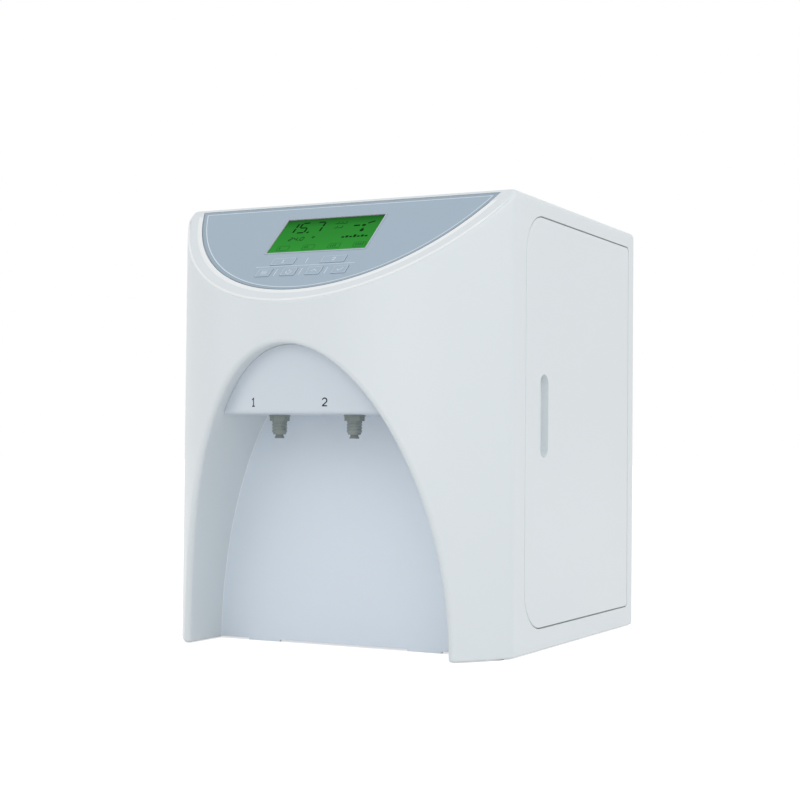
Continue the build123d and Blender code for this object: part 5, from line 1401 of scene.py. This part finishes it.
    def key_prints(self) -> None:
        """Dresses the keys and prints a rim and a plain sign on each, which move with it."""
        slope, (inside, width) = AT.slope(), self.key_rim
        for index, ((x, y), (wide, tall)) in enumerate(self.keys):
            name = f"key_{index + 1}"
            dress(name, FILM)
            shape = Shape()
            rim = round_box(wide - inside, tall - inside, 1.0, (x, y))
            shape.ribbon(slope, rim, width, *self.key_print, closed=True)
            for path in self.sign(index):
                shape.ribbon(slope, [(x + px, y + py) for px, py in path], self.sign_w, *self.key_print)
            shape.finish(f"{name}_print", PRINT, Slot.CONSOLE, name)

    def sign(self, index: int) -> list[list[Flat]]:
        """Gives the strokes of a key's sign.

        Args:
            index: Which key, from 0.

        Returns:
            Paths about the key's middle: 1, 2, a menu, a round arrow, an arrow up and a tick.
        """
        signs = [
            [[(-0.2, 2.4), (-0.2, -2.4)], [(-1.6, 1.2), (-0.2, 2.4)], [(-1.6, -2.4), (1.2, -2.4)]],
            [arc((0, 1.0), 1.6, 170, -40, 10) + [(-1.6, -2.4)], [(-1.6, -2.4), (1.9, -2.4)]],
            [[(-3.5, y), (3.5, y)] for y in (2.4, 0.0, -2.4)],
            [arc((0, -0.4), 3.0, 150, 390, 18), [(0, 0.4), (0, 3.6)]],
            [[(-3.2, -1.4), (0, 1.8), (3.2, -1.4)]],
            [[(-3.2, 0.2), (-0.8, -2.2), (3.6, 2.4)]],
        ]
        return signs[index]


@dataclass
class Display:
    """The display behind its pane: lit face, made-up figures and marks.

    Attributes:
        size: Width and height.
        drop: Its upper edge, down the slope.
        lip: How far the lip of film round it stands out, its width, and its underside and top.
        face: Depth of the lit face's back and front under the slope.
        ink: The same of the figures.
        glow: Colours of the lit face at its lower edge, near its upper edge and in the painted shadow there.
        numbers: Text, foot of the first digit, a digit's width and height, and a bar's width.
        degree: Place, radius and width of the small ring.
        corners: Place and width of each small bracket.
        bracket: Height of the brackets and width of their lines.
        ticks: Height of each bar of the scale.
        scale: Middle of the first bar across, the step to the next, their foot and their width.
        tap_at: Middle of the sign of a tap.
        boxes: Where the status boxes stand across.
        box: Their place up the slope, width, height and width of line.
        box_bars: Foot, top and width of the strokes in them.
        bars: Ends of each bar of a digit, as shares of its width and height.
        shown: Bars of each digit.
        lean: How far a digit leans to the right for its height.
    """

    size: Flat = (119.0, 62.0)
    drop: float = 30.0
    lip: tuple = (1.45, 1.3, -0.52, -0.2)
    face: Flat = (-1.5, -1.3)
    ink: Flat = (-1.31, -1.22)
    glow: tuple = ((0.024, 0.19, 0.028), (0.018, 0.15, 0.021), (0.008, 0.065, 0.010))
    numbers: tuple = (("15.7", (-53.5, -55), 9.5, 18.0, 2.1), ("24.0", (-43, -69.5), 3.8, 5.6, 0.95))
    degree: tuple = ((-14, -65), 1.3, 0.8)
    corners: tuple = ((3, -42, 4), (8.4, -42, 3), (12.6, -42, 4), (5, -50, 3), (9.4, -50, 5))
    bracket: Flat = (3.4, 0.7)
    ticks: tuple = (2.4, 3.6, 2.4, 4.6, 2.4, 3.6, 2.4)
    scale: tuple = (23.1, 4.6, -69.2, 3.2)
    tap_at: Flat = (41, -53)
    boxes: tuple = (-43, -12, 19, 49)
    box: tuple = (-83, 14, 8, 0.5)
    box_bars: Point = (-85, -81.4, 1.1)
    bars: tuple = (
        ("a", (0, 1), (1, 1)), ("b", (1, 1), (1, 0.5)), ("c", (1, 0.5), (1, 0)), ("d", (1, 0), (0, 0)),
        ("e", (0, 0), (0, 0.5)), ("f", (0, 0.5), (0, 1)), ("g", (0, 0.5), (1, 0.5)),
    )
    shown: tuple = (("0", "abcdef"), ("1", "bc"), ("2", "abged"), ("4", "fgbc"), ("5", "afgcd"), ("7", "abc"))
    lean: float = 0.06

    def build(self) -> None:
        """Dresses the solids and builds the lip, the lit face and everything on it."""
        for node, look in (("lcd_window", PANE), ("lcd_frame", RIM), ("lcd_module", BLACK)):
            dress(node, look)
        self.film_lip()
        self.lit_face()
        self.figures()
        self.marks()
        self.status_boxes()

    def film_lip(self) -> None:
        """Builds the lip of the film round the display's opening."""
        out, width, low, high = self.lip
        middle = (0.0, -self.drop - self.size[1] / 2)
        shape = Shape()
        outline = round_box(self.size[0] + 2 * out, self.size[1] + 2 * out, 1.4, middle)
        shape.ribbon(AT.slope(), outline, width, low, high, closed=True)
        shape.finish("display_film_lip", FILM, Slot.CONSOLE)

    def lit_face(self) -> None:
        """Builds the lit face, with a painted shadow that darkens it towards its upper edge."""
        wide, tall = self.size
        face = Shape()
        face.prism(AT.slope(), round_box(wide - 0.1, tall - 0.1, 0.3, (0, -self.drop - tall / 2)), *self.face)
        rise = math.sin(math.radians(AT.tilt)) * MM
        bottom, top = (AT.height * MM - drop * rise for drop in (self.drop + tall, self.drop))
        face.finish("display_lit_face", Backlight("display_backlight", *self.glow, bottom, top), Slot.LCD)

    def figures(self) -> None:
        """Builds the numbers and the degree ring."""
        shape = Shape()
        for number in self.numbers:
            self.number(shape, *number)
        place, radius, width = self.degree
        shape.ribbon(AT.slope(), arc(place, radius, 0, 330, 11), width, *self.ink, closed=True)
        shape.finish("display_figures", SEGMENT, Slot.LCD)

    def marks(self) -> None:
        """Builds the small brackets, the scale and the sign of a tap."""
        slope, shape, (rise, width) = AT.slope(), Shape(), self.bracket
        for x, y, span in self.corners:
            shape.ribbon(slope, [(x, y), (x + span, y), (x + span, y + rise)], width, *self.ink)
        first, apart, foot, wide = self.scale
        for step, tall in enumerate(self.ticks):
            bar = round_box(wide, tall, 0.4, (first + apart * step, foot + tall / 2))
            shape.prism(slope, bar, *self.ink)
        self.tap(shape, self.tap_at)
        shape.finish("display_marks", SEGMENT, Slot.LCD)

    def status_boxes(self) -> None:
        """Builds the faint boxes along the lower edge, with one to four strokes in them."""
        slope, shape = AT.slope(), Shape()
        (y, wide, tall, line), (foot, top, stroke) = self.box, self.box_bars
        for index, x in enumerate(self.boxes):
            shape.ribbon(slope, round_box(wide, tall, 1.5, (x, y)), line, *self.ink, closed=True)
            for step in range(index + 1):
                across = x - 4 + 2.6 * step
                shape.ribbon(slope, [(across, foot), (across, top + 0.4 * step)], stroke, *self.ink)
        shape.finish("display_status_boxes", FAINT, Slot.LCD)

    def number(self, shape: Shape, text: str, start: Flat, wide: float, tall: float, stroke: float) -> None:
        """Adds a slanted number made of bars.

        Args:
            shape: The mesh.
            text: Its digits and points.
            start: The foot of its first digit.
            wide: A digit's width.
            tall: A digit's height.
            stroke: Width of a bar.
        """
        slope, shown = AT.slope(), dict(self.shown)
        ends = {label: (first, last) for label, first, last in self.bars}
        (x, foot), gap, dot = start, stroke * 2.2, stroke * 0.6
        for sign in text:
            if sign == ".":
                shape.ribbon(slope, [(x - dot, foot), (x + dot, foot)], 2 * dot, *self.ink)
                x += gap
                continue
            for bar in shown[sign]:
                first, last = (
                    Vector((x + px * wide + self.lean * py * tall, foot + py * tall)) for px, py in ends[bar]
                )
                trim = (last - first).normalized() * stroke * 0.45
                shape.ribbon(slope, [tuple(first + trim), tuple(last - trim)], stroke, *self.ink)
            x += wide + gap

    def tap(self, shape: Shape, place: Flat) -> None:
        """Adds a small sign of a spout and a drop.

        Args:
            shape: The mesh.
            place: The drop's middle.
        """
        slope, (x, y) = AT.slope(), place
        drop = arc((x, y - 4), 2.3, -200, 20, 14) + [(x + 0.3, y + 0.8)]
        shape.prism(slope, drop, *self.ink)
        shape.prism(slope, round_box(4.4, 3.4, 1.2, (x - 1, y + 5.4)), *self.ink)
        shape.ribbon(slope, [(x - 13, y + 5.6), (x - 6, y + 5.6)], 2.4, *self.ink)
        shape.ribbon(slope, [(x + 2.6, y + 8.6), (x + 10, y + 12)], 2.0, *self.ink)


@dataclass
class Ports:
    """Push-in ports: two outlets under the hood and three connections at the back.

    Attributes:
        outlets: Where the outlets stand across the front.
        rear: Where the rear ports stand across the back.
        rear_z: Height of the rear ports.
        walls: Thickness of the hood and of the rear panel under the nuts.
        nut_h: Height of the outer nut.
        hex_r: Corner radius of both nuts.
        flange: Radius and height of the outer nut's flange.
        bore_r: Radius of the nuts' bore.
        thread_r: Radius of the thread that carries the nuts.
        tail_r: Radius of the tail inside.
        body_l: Length of the ribbed body.
        body_r: Radius between its ribs.
        rib_r: Radius over its ribs.
        tip_l: Length of the tip.
        mouth_r: Radius of the mouth that the collet slides in.
        tube_r: Radius of the bore that takes the tube.
        way_r: Radius of the waterway.
        flare_r: Radius of the collet's flare.
    """

    outlets: Flat = (-45.0, 45.0)
    rear: Point = (140.0, 45.0, -70.0)
    rear_z: float = 45.0
    walls: Flat = (3.0, 1.5)
    nut_h: float = 6.2
    hex_r: float = 10.5
    flange: Flat = (11.3, 1.6)
    bore_r: float = 7.35
    thread_r: float = 7.3
    tail_r: float = 6.5
    body_l: float = 12.6
    body_r: float = 7.2
    rib_r: float = 7.9
    tip_l: float = 1.6
    mouth_r: float = 4.25
    tube_r: float = 3.25
    way_r: float = 1.6
    flare_r: float = 5.1

    def seats(self) -> tuple[list[Matrix], list[Matrix]]:
        """Gives the frames of the nuts' seats.

        Returns:
            Those of the outlets and those of the rear ports.
        """
        front = [turned((x, AT.outlet_y, AT.hood_z), DOWN) for x in self.outlets]
        back = [turned((x, AT.rear_y, self.rear_z), BACK) for x in self.rear]
        return front, back

    def body(self, shape: Shape, seat: Matrix, wall: float) -> None:
        """Adds a ribbed body with its stub, waterway and mouth.

        Args:
            shape: The mesh.
            seat: Frame of the nut's seat.
            wall: Thickness of the wall behind it.
        """
        inner, outer = -wall - 6.0, self.nut_h + self.body_l
        end, tip, step = inner - 12.0, outer + self.tip_l, self.body_l / 4
        way, tube, tail, thread, core = self.way_r, self.tube_r, self.tail_r, self.thread_r, self.body_r
        profile = [(way, inner - 4), (tube, inner - 4), (tube, end + 0.4), (tube + 0.4, end)]
        profile += [(tail - 0.4, end), (tail, end + 0.4), (tail, inner), (thread, inner)]
        for groove in range(3):
            at = inner + 1 + groove * (abs(inner) - 1.5) / 3
            profile += [(thread, at), (thread - 0.3, at + 0.3), (thread, at + 0.6)]
        profile += [(thread, self.nut_h)]
        for low in (self.nut_h + rib * step for rib in range(4)):
            profile += [(self.rib_r - 0.2, low), (self.rib_r, low + 0.2), (self.rib_r, low + 2.0)]
            profile += [(self.rib_r - 0.2, low + 2.2), (core, low + 2.35), (core, low + step - 0.15)]
        profile += [(core, outer - 0.3), (core - 0.5, outer), (core - 0.5, tip - 0.4), (core - 0.8, tip)]
        profile += [(self.mouth_r + 0.25, tip), (self.mouth_r, tip - 0.25), (self.mouth_r, tip - 6.3)]
        profile += [(tube, tip - 6.3), (tube, tip - 12), (way, tip - 12), (way, inner - 4)]
        shape.lathe(seat, profile, 56)

    def nut(self, shape: Shape, seat: Matrix) -> None:
        """Adds the outer nut: a round flange and a chamfered hexagon, bored for the body.

        Args:
            shape: The mesh.
            seat: Frame of its seat.
        """
        bore, (out, high) = self.bore_r, self.flange
        profile = [(bore, 0), (out - 0.3, 0), (out, 0.3), (out, high - 0.3), (out - 0.3, high), (bore, high)]
        shape.lathe(seat, profile + profile[:1], 64)
        shape.ring(seat, circle(self.hex_r, 6, 30), bore, high, self.nut_h)

    def collet(self, shape: Shape, seat: Matrix) -> None:
        """Adds a flared collet, out at its stop.

        Args:
            shape: The mesh.
            seat: Frame of the nut's seat.
        """
        tip = self.nut_h + self.body_l + self.tip_l
        bore, skirt, flare = self.tube_r, self.mouth_r - 0.05, self.flare_r
        profile = [(bore, tip - 5), (skirt - 0.1, tip - 5), (skirt, tip - 4.8), (skirt, tip + 1.3)]
        profile += [(flare - 0.2, tip + 2.7), (flare, tip + 3.0), (flare, tip + 3.8), (flare - 0.2, tip + 4)]
        profile += [(bore + 0.35, tip + 4), (bore, tip + 3.6), (bore, tip - 5)]
        shape.lathe(seat, profile)

    def build(self) -> None:
        """Builds the bodies, nuts, locknuts and collets."""
        front, back = self.seats()
        groups = tuple(zip(("outlet_bodies", "rear_ports"), (front, back), self.walls))
        nuts, locks = Shape(), Shape()
        for name, seats, wall in groups:
            shape = Shape()
            for seat in seats:
                self.body(shape, seat, wall)
                self.nut(nuts, seat)
                locks.ring(seat, circle(self.hex_r, 6), self.bore_r, -wall - 4.0, -wall)
            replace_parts(shape.finish(f"{name}_ribbed", FITTING, Slot.FITTING), name)
        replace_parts(nuts.finish("port_nuts_chamfered", FITTING, Slot.FITTING, bevel=0.25), "port_nuts")
        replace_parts(locks.finish("locknuts_chamfered", FITTING, Slot.FITTING, bevel=0.25), "locknuts")
        names = ("collet_1", "collet_2", "feed_collet", "tank_collet", "drain_collet")
        for seat, name in zip(front + back, names):
            shape = Shape()
            self.collet(shape, seat)
            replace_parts(shape.finish(f"{name}_flared", COLLET, Slot.COLLET, name), name)


@dataclass
class RearMarks:
    """Plain arrows beside the rear ports, in for the feed, both ways for the tank and out for the drain.

    Attributes:
        low: Height of the arrows' feet.
        tall: Their height.
        stroke: Width of their strokes.
        head: Half the width and the height of an arrow's head.
        print_z: Underside and top of the print.
    """

    low: float = 62.0
    tall: float = 11.0
    stroke: float = 1.2
    head: Flat = (3.0, 3.4)
    print_z: Flat = (-0.01, 0.07)

    def build(self) -> None:
        """Builds the arrows."""
        shape, half, (wide, barb) = Shape(), self.tall / 2, self.head
        for x, ways in zip(Ports.rear, ((-1,), (-1, 1), (1,))):
            seat = turned((x, AT.rear_y, self.low + half), BACK, (-1, 0, 0))
            shape.ribbon(seat, [(0, -half), (0, half)], self.stroke, *self.print_z)
            for way in ways:
                path = [(-wide, way * (half - barb)), (0, way * half), (wide, way * (half - barb))]
                shape.ribbon(seat, path, self.stroke, *self.print_z)
        shape.finish("rear_port_arrows", INK, Slot.SHEET)


@dataclass
class Doors:
    """Side doors with their strikers and the seals in the joints round them, whose grey also paints the shade
    in the joints.

    Attributes:
        corner: Radius of the front corners.
        middle: How far the seal's middle lies outside the door.
        wide: The seal's width.
        sunk: Depth of its underside and of its top under the cabinet's side.
    """

    corner: float = 44.0
    middle: float = 0.8
    wide: float = 0.7
    sunk: Flat = (-0.6, -0.3)

    def seal(self, side: str, sign: int) -> None:
        """Builds the grey seal round a door, whose grey also paints the shade in the joint, and the pale
        strip beside its hinges.

        Args:
            side: Which door, in words.
            sign: 1 for the right door and -1 for the left one.
        """
        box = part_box(f"door_{side}")
        (front, low), (rear, high) = [(corner[1] / MM, corner[2] / MM) for corner in box]
        reach, grown, inside = self.corner + self.middle, self.middle, front + self.corner
        path = [(rear - 2, high + grown)] + arc((inside, high - self.corner), reach, 90, 180)
        path += arc((inside, low + self.corner), reach, 180, 270) + [(rear - 2, low - grown)]
        strip = [(rear + grown, low + 5), (rear + grown, high - 5)]
        seat = turned((sign * AT.half, 0, 0), (sign, 0, 0), (0, sign, 0))
        for name, route, look in (("seal", path, SEAL_AND_JOINT_SHADE), ("hinge_strip", strip, SHELL)):
            shape = Shape()
            shape.ribbon(seat, [(sign * y, z) for y, z in route], self.wide, *self.sunk)
            shape.finish(f"door_{side}_{name}", look, Slot.SHELL)

    def build(self) -> None:
        """Dresses both doors and builds their seals."""
        for side, sign in (("right", 1), ("left", -1)):
            dress(f"door_{side}", SHELL)
            dress(f"striker_{side}", STEEL)
            self.seal(side, sign)


@dataclass
class PowerInlet:
    """Inlet module at the back: socket blades, fuse drawer and rocker.

    Attributes:
        socket_z: Height of the socket.
        blades: Place of each blade across and up from the socket's middle.
        blade: Half a blade's width and height.
        blade_y: How far its foot and its tip lie inside the outer face.
        rocker_z: Height of the rocker's pivot.
        rocker_in: How far the pivot lies inside the outer face.
        rocker_tip: How far the rocker leans when off, in degrees.
        face_r: Distance from the pivot to the rocker's upper face.
        mark: Thickness of the marks.
    """

    socket_z: float = 48.0
    blades: tuple = ((-7, -2), (0, 2), (7, -2))
    blade: Flat = (1.05, 2.05)
    blade_y: Flat = (16.9, 2.9)
    rocker_z: float = 94.0
    rocker_in: float = 4.0
    rocker_tip: float = 16.0
    face_r: float = 4.6
    mark: float = 0.05

    def build(self) -> None:
        """Dresses the module and builds its blades and marks."""
        for node in ("power_inlet", "fuse_drawer", "switch_rocker"):
            dress(node, BLACK)
        self.socket()
        self.rocker_marks()

    def socket(self) -> None:
        """Builds the blades of the socket."""
        (centre, face), (wide, tall), (foot, tip) = AT.inlet, self.blade, self.blade_y
        shape = Shape()
        for across, up in self.blades:
            x, z = centre + across, self.socket_z + up
            shape.block((x - wide, face - foot, z - tall), (x + wide, face - tip, z + tall))
        shape.finish("socket_blades", BRASS, Slot.STEEL, bevel=0.3)

    def rocker_marks(self) -> None:
        """Builds the stroke and the ring on the rocker's faces, which move with it."""
        x, face = AT.inlet
        lean, rise = math.radians(self.rocker_tip), 3.1
        forward = (self.face_r - rise * math.sin(lean)) / math.cos(lean) - self.rocker_in
        lower = turned((x, face + 0.6, self.rocker_z - 1.6), BACK)
        upper = turned((x, face + forward, self.rocker_z + rise), (0, math.cos(lean), math.sin(lean)))
        shape = Shape()
        shape.ribbon(lower, [(0, -1.5), (0, 1.5)], 0.6, 0.0, self.mark)
        shape.ribbon(upper, arc((0, 0), 1.4, 0, 345, 23), 0.5, 0.0, self.mark, closed=True)
        shape.finish("rocker_marks", PRINT, Slot.BLACK, Body.ROCKER.value)


@dataclass
class CartridgeRow:
    """A row of cartridges, each with a coloured band and a flow arrow on its outer side.

    Attributes:
        kind: Name of the row's cartridges.
        x: Its place across.
        places: Place of each cartridge behind the console's top edge.
        radius: Radius of a cartridge.
        look: Finish of the bands.
        band: Lower and upper end of the bands.
        proud: Thickness of the bands, and of the print on them.
        stroke: Width of the print's lines.
    """

    kind: str
    x: float
    places: tuple
    radius: float
    look: Look
    band: Flat
    proud: Flat = (0.2, 0.1)
    stroke: float = 1.6

    def build(self) -> None:
        """Dresses the cartridges and builds their bands and print."""
        (low, high), inner, outer = self.band, self.radius - 0.05, self.radius + self.proud[0]
        for index, y in enumerate(self.places):
            dress(f"{self.kind}_{index + 1}", CAN)
            shape = Shape()
            profile = [(inner, low), (outer, low), (outer, high), (inner, high), (inner, low)]
            shape.lathe(turned(AT.at(self.x, y, 0), UP), profile, 72)
            shape.finish(f"{self.kind}_{index + 1}_band", self.look, Slot.CARTRIDGE)
        self.printed()

    def printed(self) -> None:
        """Builds a flow arrow and a ruled field on the outer side of every band."""
        low, (base, ink) = self.band[0], self.proud
        paths = [[(0, low + 8), (0, low + 26)], [(-5, low + 20), (0, low + 26), (5, low + 20)]]
        ends = [(14 - 5 * (line % 2), low + 34 + 6 * line) for line in range(4)]
        paths += [[(-14 + (14 + end) * step / 12, up) for step in range(13)] for end, up in ends]
        shape = Shape()
        for y in self.places:
            first = len(shape.bm.verts)
            for path in paths:
                shape.ribbon(Matrix.Identity(4), path, self.stroke, base, base + ink)
            shape.wrap(turned(AT.at(self.x, y, 0), UP), self.radius, first, 1 if self.x > 0 else -1)
        shape.finish(f"{self.kind}_band_print", PRINT, Slot.CARTRIDGE)


@dataclass
class Membrane:
    """The membrane housing under the cover, with ribbed caps and a plain band.

    Attributes:
        z: Height of its axis.
        caps: Where the caps start, along the axis.
        cap_r: Radius of a cap.
        ribs: Number of ribs round a cap.
        rib: Where a rib starts and ends along the cap.
        band: Where the band starts and ends.
        band_r: Inner and outer radius of the band.
    """

    z: float = 425.0
    caps: Flat = (50.0, 286.0)
    cap_r: float = 33.9
    ribs: int = 24
    rib: Flat = (3.0, 21.0)
    band: Flat = (140.0, 218.0)
    band_r: Flat = (31.95, 32.2)

    def build(self) -> None:
        """Dresses the housing and its clips, and builds the ribs and the band."""
        dress("membrane_housing", CAN, 1.0)
        dress("membrane_clips", CLIP, 0.5)
        seat = turned(AT.at(AT.pump_x, 0, self.z), BACK)
        ribs, (foot, end) = Shape(), self.rib
        section = [(-0.2, -1.3), (0.8, -0.8), (0.8, 0.8), (-0.2, 1.3)]
        for start in self.caps:
            for step in range(self.ribs):
                spin = Matrix.Rotation(2 * math.pi * step / self.ribs, 4, "Z")
                rib = seat @ spin @ Matrix.Translation((self.cap_r, 0, 0))
                ribs.prism(rib, section, start + foot, start + end)
        ribs.finish("membrane_cap_ribs", CAN, Slot.CARTRIDGE)
        band, (inner, outer), (low, high) = Shape(), self.band_r, self.band
        band.lathe(seat, [(inner, low), (outer, low), (outer, high), (inner, high), (inner, low)], 72)
        band.finish("membrane_band", BAND_BLUE, Slot.CARTRIDGE)


@dataclass
class Pump:
    """The booster pump in its cradle.

    Attributes:
        z: Height of its axis.
        head_y: Front face of the pump head, behind the console's top edge.
        bolt: Place of the bolts from the axis, across and up.
        bolt_head: Radius and height of their heads.
        socket: Radius and depth of the sockets in them.
        rings: Where the motor's seam rings start, along the axis.
        ring: Inner radius, outer radius and length of a ring.
    """

    z: float = 66.0
    head_y: float = 56.0
    bolt: float = 22.0
    bolt_head: Flat = (3.4, 2.6)
    socket: Flat = (1.7, 1.6)
    rings: tuple = (104.0, 112.0, 196.0, 204.0)
    ring: Point = (40.9, 41.5, 3.0)

    def build(self) -> None:
        """Dresses the pump and builds the head's bolts and the motor's rings."""
        dress("pump_head", HEAD, 0.8)
        dress("pump_motor", MOTOR, 0.8)
        dress("pump_cradle", BLACK, 0.5)
        bolts, (radius, high), (hex_r, deep) = Shape(), self.bolt_head, self.socket
        profile = [(0, -4), (radius - 0.2, -4), (radius, 0), (radius, high - 0.4), (radius - 0.4, high)]
        for x in (-self.bolt, self.bolt):
            for z in (-self.bolt, self.bolt):
                seat = turned(AT.at(AT.pump_x + x, self.head_y, self.z + z), (0, -1, 0))
                bolts.recessed(seat, profile, circle(hex_r, 6), deep, 30)
        bolts.finish("pump_head_bolts", STEEL, Slot.STEEL)
        seams, (inner, outer, long) = Shape(), self.ring
        axis = turned(AT.at(AT.pump_x, 0, self.z), BACK)
        for start in self.rings:
            end = start + long
            profile = [(inner, start), (outer, start + 0.4), (outer, end - 0.4), (inner, end), (inner, start)]
            seams.lathe(axis, profile, 72)
        seams.finish("pump_motor_rings", MOTOR, Slot.MOTOR)


@dataclass
class WaterTrain:
    """Heads, valve, tubes, cables and supply between the larger parts.

    Attributes:
        looks: The finish of each solid, and the width of its rounded edges.
    """

    looks: tuple = (
        ("feed_tubes", TUBE_WHITE, 0.0), ("product_tubes", TUBE_BLUE, 0.0), ("drain_tubes", TUBE_RED, 0.0),
        ("wiring", CABLE, 0.0), ("cartridge_heads", HEAD, 0.8), ("head_brackets", SHEET, 0.4),
        ("cartridge_clips", CLIP, 0.5), ("inlet_valve", HEAD, 0.6), ("line_fittings", FITTING, 0.5),
        ("power_supply", CASE, 0.4),
    )

    def build(self) -> None:
        """Dresses the solids."""
        for node, look, width in self.looks:
            dress(node, look, width)


@dataclass
class ControlBoard:
    """The control board under the console, with the parts on its inner side.

    Attributes:
        chips: Place across and down the slope, width, height and thickness of each chip and plug.
        cans: Place across and down the slope, radius and height of each capacitor.
        seated: How far the parts reach into the board.
    """

    chips: tuple = (
        (0, 56, 22, 22, 2.4), (-30, 70, 14, 9, 1.8), (28, 72, 12, 12, 2.0), (0, 84, 26, 8, 2.6),
        (-48, 50, 9, 9, 3.0), (52, 46, 16, 8, 7.0), (-56, 96, 10, 20, 9.0), (40, 108, 22, 10, 4.0),
    )
    cans: tuple = ((-20, 108, 4.0, 9.0), (-8, 108, 4.0, 9.0), (6, 110, 5.0, 11.0), (62, 84, 3.0, 7.0))
    seated: float = 0.05

    def build(self) -> None:
        """Dresses the board and builds its parts."""
        dress("control_board", BOARD)
        slope, face = AT.slope(), AT.board_d
        chips = Shape()
        for x, drop, wide, tall, thick in self.chips:
            chips.prism(slope, round_box(wide, tall, 0.4, (x, -drop)), -face - thick, -face + self.seated)
        chips.finish("board_chips", BLACK, Slot.BOARD, bevel=0.25)
        cans, inward = Shape(), tuple(slope.to_3x3() @ Vector(DOWN))
        for x, drop, radius, tall in self.cans:
            seat = turned(tuple(slope @ Vector((x, -drop, -face + self.seated))), inward)
            profile = [(0, 0), (radius, 0), (radius, tall - 0.5), (radius - 0.5, tall), (0, tall)]
            cans.lathe(seat, profile, 28)
        cans.finish("board_cans", STEEL, Slot.BOARD)


def main() -> None:
    """Builds the studio and every sub-assembly in order."""
    logging.basicConfig(level=logging.INFO, format="%(name)s: %(message)s")
    Studio().build()
    prefilters = CartridgeRow("prefilter", 95.0, (78.0, 162.0, 246.0), 38.0, BAND_BLUE, (240.0, 322.0))
    polishers = CartridgeRow("polisher", -95.0, (78.0, 162.0), 36.0, BAND_GREY, (240.0, 316.0))
    outside = (Housing(), Doors(), Console(), Display(), HoodLabels(), Ports(), RearMarks(), PowerInlet())
    inside = (prefilters, polishers, Membrane(), Pump(), WaterTrain(), ControlBoard())
    for assembly in (*outside, *inside, Fasteners()):
        log.info("building %s", type(assembly).__name__)
        assembly.build()


if __name__ == "__main__":
    main()
